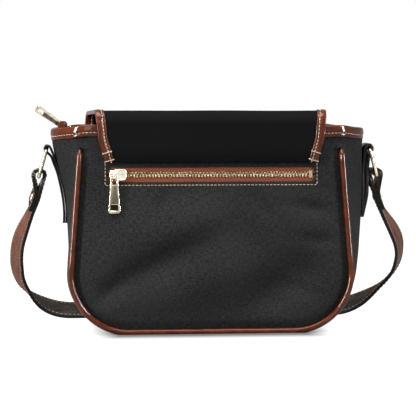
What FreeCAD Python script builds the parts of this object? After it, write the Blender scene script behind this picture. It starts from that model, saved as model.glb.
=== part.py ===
"""Saddle handbag: black fabric body with tan leather piping, rim binding, zipped top,
zipped pocket on the back, an over-the-top flap and a riveted leather strap on two rings.

Frame: millimetres, +Z up, origin in the middle of the flat base. The back of the bag,
with the pocket zip, faces -Y, and the flap falls down the front, which faces +Y.
"""
import FreeCAD, Part
import math
import os

from FreeCAD import Placement, Rotation, Vector

SIZES = {
    # body
    "base_half_flat": 73.5,
    "panel_corner": 54.5,
    "panel_lean": 4.4,
    "gusset_corner": 62.5,
    "gusset_flare": 3.5,
    "base_half_depth": 46.0,
    "panel_tilt": 3.0,
    "rim_height": 188.0,
    "rim_dip": 4.0,
    "fabric": 1.4,
    "lining": 0.6,
    "board_thick": 1.8,
    "board_margin": 4.0,
    "piping_dia": 5.5,
    "piping_inset": 1.6,
    "piping_proud": 0.6,
    "piping_top": 166.0,
    "rim_band": 9.5,
    "rim_leather": 1.2,
    "fit_gap": 0.3,
    # zips
    "window_long": 189.0,
    "window_tall": 13.0,
    "window_height": 144.5,
    "window_round": 5.0,
    "tape_thick": 0.9,
    "tape_seam": 7.0,
    "tooth_pitch": 2.8,
    "tooth_wide": 1.1,
    "tooth_long": 3.0,
    "tooth_thick": 3.0,
    "tooth_cord": 1.25,
    "tooth_overlap": 1.1,
    "slider_long": 15.0,
    "slider_wide": 11.0,
    "slider_plate": 1.6,
    "slider_gap": 0.5,
    "slider_post": 3.0,
    "bail_span": 8.0,
    "bail_rise": 5.9,
    "bail_wire": 1.4,
    "pull_long": 37.0,
    "pull_wide_top": 6.0,
    "pull_wide_end": 10.8,
    "pull_thick": 2.2,
    "pull_leg": 1.2,
    "pull_fork": 8.0,
    "pull_slot_wide": 6.4,
    "pull_slot_tall": 5.4,
    "pull_end_bar": 3.0,
    "inlay_wide": 6.2,
    "inlay_tall": 16.0,
    "inlay_deep": 0.6,
    "end_tab_long": 2.7,
    "pocket_zip_half": 85.0,
    "zip_end": 4.0,
    "main_pull_rise": 35.0,
    "main_pull_roll": 15.0,
    "closure_drop": 4.0,
    "closure_thick": 1.2,
    # inner pocket
    "pouch_wide": 200.0,
    "pouch_tall": 118.0,
    "pouch_deep": 8.0,
    "pouch_wall": 0.8,
    # flap
    "flap_thick": 2.4,
    "flap_seam_gap": 4.0,
    "flap_seam_tall": 6.0,
    "flap_tail_tall": 21.0,
    "flap_half_seam": 96.0,
    "flap_half_fold": 102.0,
    "flap_half_front": 112.0,
    "flap_half_wide": 116.5,
    "flap_wide_height": 110.0,
    "flap_low": 52.0,
    "flap_rise_back": 25.3,
    "flap_rise_front": 23.0,
    "flap_top_round": 10.0,
    "binding_wide": 7.5,
    "binding_leather": 0.8,
    "magnet_radius": 8.0,
    "magnet_height": 78.0,
    # strap
    "strap_tilt": 27.0,
    "strap_wide": 25.0,
    "strap_ply": 1.5,
    "strap_half_span": 178.5,
    "strap_bend_low": 103.0,
    "strap_round_low": 52.0,
    "strap_round_side": 100.0,
    "strap_tail": 17.0,
    "strap_eye_half": 6.5,
    "strap_eye_drop": 16.0,
    "strap_eye_round": 4.0,
    "strap_join_round": 20.0,
    "tab_wide": 22.0,
    "tab_thick": 2.0,
    "tab_low": 98.0,
    "tab_high": 168.0,
    "ring_pivot_height": 167.0,
    "ring_wire": 3.5,
    "ring_long": 26.0,
    "ring_round": 3.2,
    "ring_lean": 15.0,
    "loop_play": 0.5,
    "rivet_radius": 1.2,
    "rivet_head": 3.2,
    "rivet_head_thick": 0.9,
    "rivet_down": 9.0,
}

X_AXIS = Vector(1, 0, 0)
Y_AXIS = Vector(0, 1, 0)
Z_AXIS = Vector(0, 0, 1)
REACH = 500.0  # longer than the bag, for cutting solids

doc = FreeCAD.newDocument("saddle_handbag")
sheet = doc.addObject("Spreadsheet::Sheet", "sizes")
for row, (alias, value) in enumerate(SIZES.items(), start=1):
    sheet.set(f"A{row}", alias)
    sheet.set(f"B{row}", str(value))
    sheet.setAlias(f"B{row}", alias)
doc.recompute()


def size(alias):
    """The driving dimension held in the sheet under that alias."""
    return float(sheet.get(alias))


# Helpers that make document objects

nodes = []


def cells(expression):
    """Puts the sheet's name in front of every alias in an expression."""
    words = []
    for word in expression.split():
        words.append(f"sizes.{word}" if word in SIZES else word)
    return " ".join(words)


def primitive(kind, name, at=("0", "0", "0"), **sizes_of):
    """A Part primitive whose sizes and place are expressions of sheet cells."""
    obj = doc.addObject(f"Part::{kind}", name)
    for key, expression in sizes_of.items():
        obj.setExpression(key, cells(expression))
    for axis, expression in zip("xyz", at):
        obj.setExpression(f"Placement.Base.{axis}", cells(expression))
    return obj


def centred_box(name, length, width, height, at=("0", "0", "0")):
    """A box centred on a point, each size and coordinate an expression."""
    middle = [f"{place} - ( {extent} ) / 2" for place, extent in zip(at, (length, width, height))]
    return primitive("Box", name, middle, Length=length, Width=width, Height=height)


def turned(obj, axis, angle):
    """Turns a primitive about its own base point and gives it back."""
    obj.Placement.Rotation = Rotation(axis, angle)
    return obj


def fused(name, pieces):
    """One solid from several that touch or overlap."""
    obj = doc.addObject("Part::MultiFuse", name)
    obj.Shapes = pieces
    obj.Refine = True
    return obj


def grouped(name, pieces):
    """Separate solids held together as one object."""
    obj = doc.addObject("Part::Compound", name)
    obj.Links = pieces
    return obj


def cut(name, base, tool):
    """The base with the tool taken out."""
    obj = doc.addObject("Part::Cut", name)
    obj.Base = base
    obj.Tool = tool
    return obj


def shaped(name, shape):
    """A document object that holds a shape worked out from the sheet."""
    obj = doc.addObject("Part::Feature", name)
    obj.Shape = shape
    return obj


def node(obj, label, place=None):
    """Registers an object as a sub-part with its own label and placement."""
    obj.Label = label
    if place is not None:
        obj.Placement = place.multiply(obj.Placement)
    nodes.append(obj)
    return obj


# Frames that pieces are placed in

TILT = size("panel_tilt")
BACK = Placement(Vector(0, -size("base_half_depth"), 0), Rotation(X_AXIS, -TILT))
FRONT = Placement(
    Vector(0, size("base_half_depth"), 0),
    Rotation(Z_AXIS, 180).multiply(Rotation(X_AXIS, -TILT)),
)
CARRY = Placement(Vector(0, 0, size("ring_pivot_height")), Rotation(X_AXIS, size("strap_tilt")))


def moved(place, x, y, z):
    """A frame shifted by a vector of its own axes."""
    return place.multiply(Placement(Vector(x, y, z), Rotation()))


def placed(shape, place):
    """A copy of a shape carried into a frame."""
    copy = shape.copy()
    copy.Placement = place.multiply(copy.Placement)
    return copy


# Outlines and lofted walls of the body


def side_half_width(height, radius, lean, inset=0.0):
    """Half width of the U outline at a height on its straight side."""
    angle = math.radians(lean)
    run = size("base_half_flat") + (radius - inset) / math.cos(angle)
    return run - (height - radius) * math.tan(angle)


def u_edges(radius, lean, top, inset=0.0):
    """Edges of a U: leaning side, round corner, flat base, corner and side, in the XZ plane."""
    angle = math.radians(lean)
    flat = size("base_half_flat")
    bend = radius - inset
    corner = Vector(flat, 0, radius)
    foot = Vector(flat, 0, inset)
    knee = corner + Vector(math.cos(angle), 0, math.sin(angle)) * bend
    halfway = (angle - math.pi / 2) / 2
    belly = corner + Vector(math.cos(halfway), 0, math.sin(halfway)) * bend
    head = Vector(side_half_width(top, radius, lean, inset), 0, top)

    def left(point):
        return Vector(-point.x, point.y, point.z)

    return [
        Part.LineSegment(left(head), left(knee)).toShape(),
        Part.Arc(left(knee), left(belly), left(foot)).toShape(),
        Part.LineSegment(left(foot), foot).toShape(),
        Part.Arc(foot, belly, knee).toShape(),
        Part.LineSegment(knee, head).toShape(),
    ]


def u_wire(radius, lean, top, inset=0.0):
    """The U closed by a straight line across its top."""
    edges = u_edges(radius, lean, top, inset)
    lid = Part.LineSegment(edges[-1].Vertexes[-1].Point, edges[0].Vertexes[0].Point)
    return Part.Wire(edges + [lid.toShape()])


def body_loft(inset):
    """Solid of the whole body, inset all round, from the back panel through the middle to the front."""
    top = size("rim_height") + 3 * size("rim_band")
    panel = u_wire(size("panel_corner"), size("panel_lean"), top, inset)
    middle = u_wire(size("gusset_corner"), -size("gusset_flare"), top, inset)
    sections = [
        placed(panel, moved(BACK, 0, inset, 0)),
        middle,
        placed(mirrored_outline(panel), moved(FRONT, 0, inset, 0)),
    ]
    return Part.makeLoft(sections, True, False)


def mirrored_outline(wire):
    """The outline turned half round the Z axis, so that its edges run the same way as the back's."""
    return placed(wire, Placement(Vector(), Rotation(Z_AXIS, 180)))


def rim_prism(above, below):
    """Space between two surfaces that follow the dip of the rim, one above and one below it."""
    half = size("base_half_depth")
    high = size("rim_height")
    low = high - size("rim_dip")

    def arc(shift):
        return Part.Arc(
            Vector(-REACH / 2, -half, high + shift),
            Vector(-REACH / 2, 0, low + shift),
            Vector(-REACH / 2, half, high + shift),
        ).toShape()

    roof = arc(above)
    floor = arc(-below)
    back = Part.LineSegment(roof.Vertexes[0].Point, floor.Vertexes[0].Point).toShape()
    front = Part.LineSegment(roof.Vertexes[1].Point, floor.Vertexes[1].Point).toShape()
    face = Part.Face(Part.Wire([roof, front, floor, back]))
    return face.extrude(Vector(REACH, 0, 0))


def slab(place, low, high):
    """Everything between two depths below a panel's outer face."""
    box = Part.makeBox(REACH, high - low, REACH, Vector(-REACH / 2, low, -REACH / 4))
    return placed(box, place)


def slot_prism(long, tall, corner, low, high):
    """A flat slot with rounded corners, from one depth to another, centred on the frame's origin."""
    box = Part.makeBox(long, high - low, tall, Vector(-long / 2, low, -tall / 2))
    upright = [edge for edge in box.Edges if abs(edge.tangentAt(edge.FirstParameter).y) > 0.9]
    return box.makeFillet(corner, upright)


def below_rim(shape, drop=0.0):
    """The part of a shape that lies under the rim surface, or further down by a drop."""
    return shape.common(rim_prism(-drop, size("rim_height") + 2 * size("rim_band")))


# Body: panels, gusset, lining, base board, piping and rim binding

FABRIC = size("fabric")
GAP = size("fit_gap")
TAPE_FACE = FABRIC + GAP
POUCH_FACE = TAPE_FACE + size("tape_thick") + GAP / 3
POUCH_BACK = POUCH_FACE + size("pouch_deep") + 2 * size("pouch_wall")


def window(low, high):
    """The zip's opening through the back panel, between two depths."""
    hole = slot_prism(size("window_long"), size("window_tall"), size("window_round"), low, high)
    return placed(hole, moved(BACK, 0, 0, size("window_height")))


def sole_box(thick):
    """The flat middle of the base, up to a thickness."""
    long = size("base_half_flat") - size("board_margin")
    half = size("base_half_depth")
    return Part.makeBox(2 * long, 2 * half, thick, Vector(-long, -half, 0))


def body():
    """Fabric walls, the lining that hangs inside them and the board on its floor."""
    outer = body_loft(0)
    wall = below_rim(outer.cut(body_loft(FABRIC)))
    back_slab = slab(BACK, -FABRIC, FABRIC)
    front_slab = slab(FRONT, -FABRIC, FABRIC)
    node(shaped("BackPanel", wall.common(back_slab).cut(window(-FABRIC, 2 * FABRIC))), "back_panel")
    node(shaped("FrontPanel", wall.common(front_slab)), "front_panel")
    gusset = wall.cut(back_slab).cut(front_slab)
    sole = sole_box(FABRIC).cut(back_slab).cut(front_slab)
    node(shaped("Gusset", gusset.cut(sole_box(2 * FABRIC)).fuse(sole)), "gusset")

    inset = FABRIC + GAP
    skin = size("lining")
    room = body_loft(inset).cut(slab(BACK, -REACH / 2, POUCH_BACK + GAP))
    hollow = body_loft(inset + skin).cut(slab(BACK, -REACH / 2, POUCH_BACK + GAP + skin))
    bag = room.cut(hollow)
    under_zip = size("closure_drop") + size("closure_thick") + GAP
    node(shaped("Lining", below_rim(bag, under_zip)), "lining")

    floor = "fabric + fit_gap + lining + fit_gap / 3 + board_thick / 2"
    middle = str((POUCH_BACK + GAP) / 2)
    depth = "2 * base_half_depth - 2 * fabric - 2 * board_margin - " + str(POUCH_BACK)
    board = centred_box("BaseBoard", "2 * base_half_flat", depth, "board_thick", ("0", middle, floor))
    node(board, "base_board")
    return outer, wall


def piping(name, label, frame, outer):
    """A round leather cord sewn into the seam between a panel and the gusset."""
    inset = size("piping_inset")
    path = Part.Wire(u_edges(size("panel_corner"), size("panel_lean"), size("piping_top"), inset))
    start = path.OrderedVertexes[0].Point
    along = path.OrderedEdges[0].tangentAt(path.OrderedEdges[0].FirstParameter)
    ring = Part.Wire(Part.Circle(start, along, size("piping_dia") / 2).toShape())
    cord = path.makePipeShell([ring], True, False)
    cord = placed(cord, moved(frame, 0, -size("piping_proud"), 0))
    ground = Part.makeBox(REACH, REACH, REACH, Vector(-REACH / 2, -REACH / 2, -REACH))
    node(shaped(name, cord.cut(outer).cut(ground)), label)


def rim_binding(wall):
    """Leather folded over the rim: a band outside the walls and a strip over their top edge."""
    leather = size("rim_leather")
    ring = body_loft(-leather).cut(body_loft(FABRIC))
    band = ring.common(rim_prism(leather, size("rim_band"))).cut(wall)
    node(shaped("RimBinding", band), "rim_binding")


# Zips: teeth, tapes, sliders and pulls, shared by the pocket and the top

CHAIN_HALF = size("tooth_long") - size("tooth_overlap") + size("tooth_cord")
PLATE_LOW = "tooth_thick / 2 + slider_gap"
PLATE_TOP = "tooth_thick / 2 + slider_gap + slider_plate"
BAIL_HEIGHT = (
    size("tooth_thick") / 2 + size("slider_gap") + size("slider_plate")
    + (size("bail_rise") - size("bail_wire")) / 2
)


def zip_comb(low, high, phase):
    """One side of a zip's chain, in the XY plane: a cord with teeth that reach past the middle line."""
    pitch = size("tooth_pitch")
    root = size("tooth_long") - size("tooth_overlap")
    tip = -size("tooth_overlap")
    points = [Vector(low, root + size("tooth_cord"), 0), Vector(low, root, 0)]
    count = int((high - low - pitch) / pitch)
    for number in range(count):
        left = low + (number + phase) * pitch
        right = left + size("tooth_wide")
        points += [Vector(left, root, 0), Vector(left, tip, 0), Vector(right, tip, 0), Vector(right, root, 0)]
    points += [Vector(high, root, 0), Vector(high, root + size("tooth_cord"), 0)]
    face = Part.Face(Part.makePolygon(points + points[:1]))
    thick = size("tooth_thick")
    return placed(face.extrude(Vector(0, 0, thick)), Placement(Vector(0, 0, -thick / 2), Rotation()))


def zip_chain(stem, frame, low, high, sides):
    """Both sides of a chain; the second is mirrored, half a pitch on, so that its teeth fall between."""
    first = zip_comb(low, high, 0.25)
    second = zip_comb(low, high, 0.75).mirror(Vector(), Y_AXIS)
    for side, comb in zip(sides, (first, second)):
        node(shaped(f"{stem}Teeth_{side}", comb), f"{stem}_zip_teeth_{side}", frame)


def slider(stem, frame, bail_across):
    """Two plates joined by a post at the nose, with a bail on top for the pull."""
    nose = "slider_post / 2 - slider_long / 2"
    tall = "tooth_thick + 2 * slider_gap + 2 * slider_plate"
    upper = f"{PLATE_LOW} + slider_plate / 2"
    slab_of = ("slider_long", "slider_wide", "slider_plate")
    pieces = [
        centred_box(f"{stem}PlateTop", *slab_of, ("0", "0", upper)),
        centred_box(f"{stem}PlateLow", *slab_of, ("0", "0", f"-( {upper} )")),
        centred_box(f"{stem}Post", "slider_post", "slider_wide / 4", tall, (nose, "0", "0")),
    ]
    span = ("bail_wire", "bail_span") if bail_across else ("bail_span", "bail_wire")
    bar = f"{PLATE_TOP} + bail_rise - bail_wire / 2"
    pieces.append(centred_box(f"{stem}BailBar", *span, "bail_wire", ("0", "0", bar)))
    for sign in ("", "-"):
        foot = f"{sign}( bail_span - bail_wire ) / 2"
        where = ("0", foot) if bail_across else (foot, "0")
        middle = f"{PLATE_TOP} + bail_rise / 2"
        leg = centred_box(f"{stem}BailLeg", "bail_wire", "bail_wire", "bail_rise", (*where, middle))
        pieces.append(leg)
    node(fused(f"{stem}Slider", pieces), f"{stem}_slider", frame)


def pull(stem, frame):
    """A tapered metal tab that hangs on the bail by a cross bar, with an inlay and a slot near its end."""
    blank = primitive(
        "Wedge", f"{stem}PullBlank",
        Xmin="- pull_wide_top / 2", Xmax="pull_wide_top / 2",
        X2min="- pull_wide_end / 2", X2max="pull_wide_end / 2",
        Ymin="0", Ymax="pull_long",
        Zmin="- pull_thick / 2", Zmax="pull_thick / 2",
        Z2min="- pull_thick / 2", Z2max="pull_thick / 2",
    )
    fork = centred_box(
        f"{stem}PullFork", "pull_wide_top - 2 * pull_leg", "2 * pull_fork", "2 * pull_thick",
    )
    slot_middle = "pull_long - pull_end_bar - pull_slot_tall / 2"
    slot = centred_box(
        f"{stem}PullSlot", "pull_slot_wide", "pull_slot_tall", "2 * pull_thick", ("0", slot_middle, "0"),
    )
    inlay_middle = "( pull_fork + pull_long - pull_end_bar - pull_slot_tall ) / 2"
    inlay_top = "pull_thick / 2 - inlay_deep / 2"
    inlay_box = ("inlay_wide", "inlay_tall", "inlay_deep", ("0", inlay_middle, inlay_top))
    recess = centred_box(f"{stem}PullRecess", *inlay_box)
    holes = fused(f"{stem}PullHoles", [fork, slot, recess])
    tab = cut(f"{stem}PullTab", blank, holes)
    bar = primitive(
        "Cylinder", f"{stem}PullBar", ("- pull_wide_top / 2", "0", "0"),
        Radius="pull_thick / 2", Height="pull_wide_top",
    )
    turned(bar, Y_AXIS, 90)
    node(fused(f"{stem}Pull", [tab, bar]), f"{stem}_pull", frame)
    inlay = centred_box(f"{stem}InlayPlate", *inlay_box)
    node(grouped(f"{stem}Inlay", [inlay]), f"{stem}_pull_inlay", frame)


def pocket():
    """The zipped pocket of the back: tapes behind the window, chain, slider, pull and inner pouch."""
    tape = size("tape_thick")
    chain_depth = TAPE_FACE + tape / 2
    zip_frame = moved(BACK, 0, chain_depth, size("window_height"))
    zip_frame = zip_frame.multiply(Placement(Vector(), Rotation(X_AXIS, 90)))
    half = size("pocket_zip_half")
    low = -half - size("slider_long") / 2 + size("slider_post") + GAP
    high = half + size("zip_end")
    zip_chain("pocket", zip_frame, low, high, ("upper", "lower"))

    reach = size("window_tall") / 2 + size("tape_seam")
    long = size("window_long") + 2 * size("tape_seam")
    for side, start in (("upper", CHAIN_HALF), ("lower", -reach)):
        strip = Part.makeBox(long, reach - CHAIN_HALF, tape, Vector(-long / 2, start, -tape / 2))
        node(shaped(f"PocketTape_{side}", strip), f"pocket_zip_tape_{side}", zip_frame)
    stop = Part.makeBox(size("slider_post"), 2 * CHAIN_HALF, size("tooth_thick"))
    stop.translate(Vector(high + GAP, -CHAIN_HALF, -size("tooth_thick") / 2))
    node(shaped("PocketStop", stop), "pocket_zip_stop", zip_frame)

    slider_frame = moved(zip_frame, -half, 0, 0)
    slider("pocket", slider_frame, True)
    sag = size("bail_span") / 2 - size("bail_wire") - size("pull_thick") / 2 - GAP
    hang = Placement(Vector(0, -sag, BAIL_HEIGHT), Rotation(Z_AXIS, 180))
    pull("pocket", slider_frame.multiply(hang))

    wall = size("pouch_wall")
    wide = size("pouch_wide")
    tall = size("pouch_tall")
    top = size("window_height") + size("window_tall") / 2 + size("tape_seam") - GAP
    outer = Part.makeBox(wide, POUCH_BACK - POUCH_FACE, tall, Vector(-wide / 2, POUCH_FACE, top - tall))
    inner = Part.makeBox(
        wide - 2 * wall, size("pouch_deep"), tall - 2 * wall,
        Vector(wall - wide / 2, POUCH_FACE + wall, top - tall + wall),
    )
    mouth = window(POUCH_FACE - wall, POUCH_FACE + 2 * wall)
    pouch = placed(outer.cut(inner), BACK).cut(mouth)
    node(shaped("PocketPouch", pouch), "pocket_pouch")


def top_closure():
    """The zip across the mouth: two fabric strips under the rim, chain, slider, pull and end tabs."""
    drop = size("closure_drop")
    thick = size("closure_thick")
    mouth = body_loft(FABRIC + GAP).common(rim_prism(-drop, drop + thick))
    for side, start in (("back", -REACH), ("front", CHAIN_HALF)):
        room = Part.makeBox(REACH, REACH - CHAIN_HALF, REACH, Vector(-REACH / 2, start, 0))
        node(shaped(f"TopStrip_{side}", mouth.common(room)), f"main_zip_strip_{side}")

    level = size("rim_height") - size("rim_dip") - drop - thick / 2
    tab_low = level - thick / 2
    tab_out = side_half_width(tab_low, size("gusset_corner"), -size("gusset_flare"), FABRIC + GAP)
    tab_in = tab_out - size("end_tab_long")
    half = tab_in - GAP - size("slider_long") / 2
    zip_frame = Placement(Vector(0, 0, level), Rotation())
    low = -half - size("slider_long") / 2 + size("slider_post") + GAP
    zip_chain("main", zip_frame, low, half + size("zip_end"), ("front", "back"))

    slider_frame = moved(zip_frame, -half, 0, 0)
    slider("main", slider_frame, False)
    rise = Rotation(Y_AXIS, size("main_pull_rise"))
    flipped = Rotation(Vector(1, -1, 0), 180)
    roll = Rotation(Y_AXIS, size("main_pull_roll"))
    bail = moved(slider_frame, 0, 0, BAIL_HEIGHT).Base
    pull("main", Placement(bail, rise.multiply(flipped).multiply(roll)))

    tabs = []
    for start in (-tab_out, tab_in):
        tab = Part.makeBox(
            size("end_tab_long"), 2 * CHAIN_HALF - 2 * GAP, level + drop - tab_low,
            Vector(start, GAP - CHAIN_HALF, tab_low),
        )
        tabs.append(tab)
    node(shaped("TopEndTabs", Part.makeCompound(tabs)), "main_zip_end_tabs")


# Rounded paths, for the flap's fold and the strap


def normal_of(start, end):
    """Unit vector to the left of a straight run in the XZ plane."""
    run = (end - start).normalize()
    return Vector(-run.z, 0, run.x)


def shifted_points(points, shift):
    """The corners of a broken line moved sideways, so that each run stays parallel to itself."""
    sides = [normal_of(start, end) for start, end in zip(points, points[1:])]
    result = [points[0] + sides[0] * shift]
    for corner, before, after in zip(points[1:-1], sides, sides[1:]):
        result.append(corner + (before + after) * (shift / (1 + before.dot(after))))
    result.append(points[-1] + sides[-1] * shift)
    return result


def rounded_edges(points, rounds, shift=0.0):
    """Lines and tangent arcs along a broken line, moved sideways by a shift."""
    moved_points = shifted_points(points, shift)
    edges = []
    last = moved_points[0]
    for index, bend in enumerate(rounds, start=1):
        corner = moved_points[index]
        before = (moved_points[index - 1] - corner).normalize()
        after = (moved_points[index + 1] - corner).normalize()
        turn = math.pi - before.getAngle(after)
        leftward = before.z * after.x - before.x * after.z > 0
        radius = bend - shift if leftward else bend + shift
        run = radius * math.tan(turn / 2)
        start = corner + before * run
        end = corner + after * run
        inward = (before + after).normalize()
        middle = corner + inward * (radius / math.cos(turn / 2) - radius)
        edges.append(Part.LineSegment(last, start).toShape())
        edges.append(Part.Arc(start, middle, end).toShape())
        last = end
    edges.append(Part.LineSegment(last, moved_points[-1]).toShape())
    return edges


def ribbon(points, rounds, low, high, width):
    """A band between two shifts of a rounded path, as wide as given about the path's plane."""
    near = rounded_edges(points, rounds, low)
    far = rounded_edges(points, rounds, high)
    first = Part.LineSegment(near[0].Vertexes[0].Point, far[0].Vertexes[0].Point).toShape()
    last = Part.LineSegment(near[-1].Vertexes[-1].Point, far[-1].Vertexes[-1].Point).toShape()
    wire = Part.Wire(Part.__sortEdges__(near + [last] + far + [first]))
    band = Part.Face(wire).extrude(Vector(0, width, 0))
    band.translate(Vector(0, -width / 2, 0))
    return band


# Flap: a tail sewn to the back, a bridge over the mouth and the front that falls over the panel

STAND_OFF = size("rim_leather") + GAP + size("binding_leather")
FLAP_OUT = STAND_OFF + size("flap_thick")
FLAP_SEAM = size("window_height") + size("window_tall") / 2 + size("flap_seam_gap")
FLAP_FOLD = FLAP_SEAM + size("flap_tail_tall")
BINDING_OUT = FLAP_OUT + size("binding_leather")
BINDING_IN = STAND_OFF - size("binding_leather")


def trapezoid(low_half, low, high_half, high):
    """Corners of a symmetric trapezoid in the XZ plane."""
    return [
        Vector(-low_half, 0, low), Vector(low_half, 0, low),
        Vector(high_half, 0, high), Vector(-high_half, 0, high),
    ]


def plate(wire, near, far):
    """A flat sheet of an outline, between two depths."""
    sheet_face = Part.Face(wire)
    solid = sheet_face.extrude(Vector(0, far - near, 0))
    solid.translate(Vector(0, near, 0))
    return solid


def tail_outline(trim=0.0):
    """The tail's outline on the back panel, drawn in at its sides."""
    points = trapezoid(size("flap_half_seam") - trim, FLAP_SEAM, size("flap_half_fold") - trim, FLAP_FOLD)
    return Part.makePolygon(points + points[:1])


def front_outline(trim=0.0):
    """The front flap's outline: sides that widen downwards and two round corners, drawn in all round."""
    level = size("flap_wide_height")
    half = size("flap_half_wide") - trim
    top_half = size("flap_half_front") - trim
    bend = level - size("flap_low") - trim
    foot = half - bend
    slant = bend * math.sqrt(0.5)
    low = level - bend

    def corner(sign):
        return Part.Arc(
            Vector(sign * half, 0, level),
            Vector(sign * (foot + slant), 0, level - slant),
            Vector(sign * foot, 0, low),
        ).toShape()

    def line(start, end):
        return Part.LineSegment(Vector(start[0], 0, start[1]), Vector(end[0], 0, end[1])).toShape()

    edges = [
        line((-top_half, FLAP_FOLD), (top_half, FLAP_FOLD)),
        line((top_half, FLAP_FOLD), (half, level)),
        corner(1),
        line((foot, low), (-foot, low)),
        corner(-1),
        line((-half, level), (-top_half, FLAP_FOLD)),
    ]
    return Part.Wire(Part.__sortEdges__(edges))


def bridge_points():
    """Corners of the flap's inner face over the mouth, in a frame whose X is the bag's depth."""
    back = BACK.multVec(Vector(0, -STAND_OFF, FLAP_FOLD))
    front = FRONT.multVec(Vector(0, -STAND_OFF, FLAP_FOLD))
    lean = math.tan(math.radians(TILT))
    thick = size("flap_thick")
    back_top = FLAP_FOLD + size("flap_rise_back") - thick
    front_top = FLAP_FOLD + size("flap_rise_front") - thick
    return [
        Vector(back.y, 0, back.z),
        Vector(back.y + lean * (back_top - back.z), 0, back_top),
        Vector(front.y - lean * (front_top - front.z), 0, front_top),
        Vector(front.y, 0, front.z),
    ]


def bridge_band(inner, outer, width):
    """The bridge between two distances from its inner face, turned so that it runs across the bag."""
    bend = size("flap_top_round")
    band = ribbon(bridge_points(), [bend, bend], inner, outer, width)
    return placed(band, Placement(Vector(), Rotation(Z_AXIS, 90)))


def bridge_plan(trim=0.0):
    """The bridge's outline from above, wider towards the front, as a tall prism."""
    deep = bridge_points()[-1].x
    back = size("flap_half_fold") - trim
    front = size("flap_half_front") - trim
    slope = (front - back) / (2 * deep)
    reach = deep + 2 * BINDING_OUT
    near = back - slope * (reach - deep)
    far = front + slope * (reach - deep)
    points = [
        Vector(-near, -reach, 0), Vector(near, -reach, 0), Vector(far, reach, 0), Vector(-far, reach, 0),
    ]
    return Part.Face(Part.makePolygon(points + points[:1])).extrude(Vector(0, 0, REACH))


def flap():
    """Fabric and edge binding of the flap, each in three pieces, and a pair of closing magnets."""
    edge = size("binding_wide")
    leather = size("binding_leather")
    seam = size("flap_seam_tall")
    foot = Part.makeBox(
        REACH, STAND_OFF - GAP, seam, Vector(-REACH / 2, -STAND_OFF, FLAP_SEAM),
    )

    tail = plate(tail_outline(leather), -FLAP_OUT, -STAND_OFF)
    tail = tail.fuse(plate(tail_outline(leather), -STAND_OFF, -GAP).common(foot)).removeSplitter()
    rail = plate(tail_outline(), -BINDING_OUT, -BINDING_IN).cut(plate(tail_outline(edge), -REACH, REACH))
    node(shaped("FlapTail", tail), "flap_tail", BACK)
    node(shaped("FlapTailBinding", rail.cut(tail)), "flap_tail_binding", BACK)

    thick = size("flap_thick")
    bridge = bridge_band(0, thick, REACH).common(bridge_plan(leather))
    rail = bridge_band(-leather, thick + leather, REACH).common(bridge_plan()).cut(bridge_plan(edge))
    node(shaped("FlapBridge", bridge), "flap_bridge")
    node(shaped("FlapBridgeBinding", rail.cut(bridge)), "flap_bridge_binding")

    front = plate(front_outline(leather), -FLAP_OUT, -STAND_OFF)
    rail = plate(front_outline(), -BINDING_OUT, -BINDING_IN).cut(plate(front_outline(edge), -REACH, REACH))
    node(shaped("FlapFront", front), "flap_front", FRONT)
    node(shaped("FlapFrontBinding", rail.cut(front)), "flap_front_binding", FRONT)

    disc = (STAND_OFF - GAP) / 2
    for name, label, depth in (
        ("BodyMagnet", "body_magnet", 0), ("FlapMagnet", "flap_magnet", -STAND_OFF + disc),
    ):
        magnet = primitive("Cylinder", f"{name}Disc", Radius="magnet_radius", Height=str(disc))
        seat = moved(FRONT, 0, depth, size("magnet_height"))
        seat = seat.multiply(Placement(Vector(), Rotation(X_AXIS, 90)))
        node(grouped(name, [magnet]), label, seat)


# Strap: side tabs, rings, the strap in two plies and its rivets

PLY = size("strap_ply")
WIRE = size("ring_wire") / 2
LOOP_IN = WIRE + size("loop_play")
LOOP_OUT = LOOP_IN + size("tab_thick")
TAB_FACE = side_half_width(size("ring_pivot_height"), size("gusset_corner"), -size("gusset_flare")) + GAP
PIVOT_HALF = TAB_FACE + size("tab_thick") + GAP + LOOP_OUT
HALF_TURN = Placement(Vector(), Rotation(Z_AXIS, 180))


def side_tab(side, frame):
    """A leather tab with a round end on the gusset, and the loop at its top that holds a ring."""
    low = size("tab_low")
    flare = math.radians(size("gusset_flare"))
    face = side_half_width(low, size("gusset_corner"), -size("gusset_flare")) + GAP / math.cos(flare)
    strip = centred_box(
        f"TabStrip_{side}", "tab_thick", "tab_wide", "tab_high - tab_low",
        ("tab_thick / 2", "0", "( tab_high - tab_low ) / 2"),
    )
    tip = primitive("Cylinder", f"TabTip_{side}", Radius="tab_wide / 2", Height="tab_thick")
    turned(tip, Y_AXIS, 90)
    lean = Placement(Vector(face, 0, low), Rotation(Y_AXIS, size("gusset_flare")))
    node(fused(f"Tab_{side}", [strip, tip]), f"side_tab_{side}", frame.multiply(lean))


def ring_frame(turn):
    """Frame of a ring's upper bar, in the tilted plane that the strap lies in."""
    return CARRY.multiply(turn).multiply(Placement(Vector(PIVOT_HALF, 0, 0), Rotation()))


def tab_loop(side, turn):
    """The tab's fold round the ring's upper bar."""
    outer = primitive("Cylinder", f"LoopOut_{side}", Radius=str(LOOP_OUT), Height="tab_wide")
    inner = primitive("Cylinder", f"LoopIn_{side}", Radius=str(LOOP_IN), Height="tab_wide")
    lying = Placement(Vector(0, size("tab_wide") / 2, 0), Rotation(X_AXIS, 90))
    node(cut(f"Loop_{side}", outer, inner), f"side_tab_loop_{side}", ring_frame(turn).multiply(lying))


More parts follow.
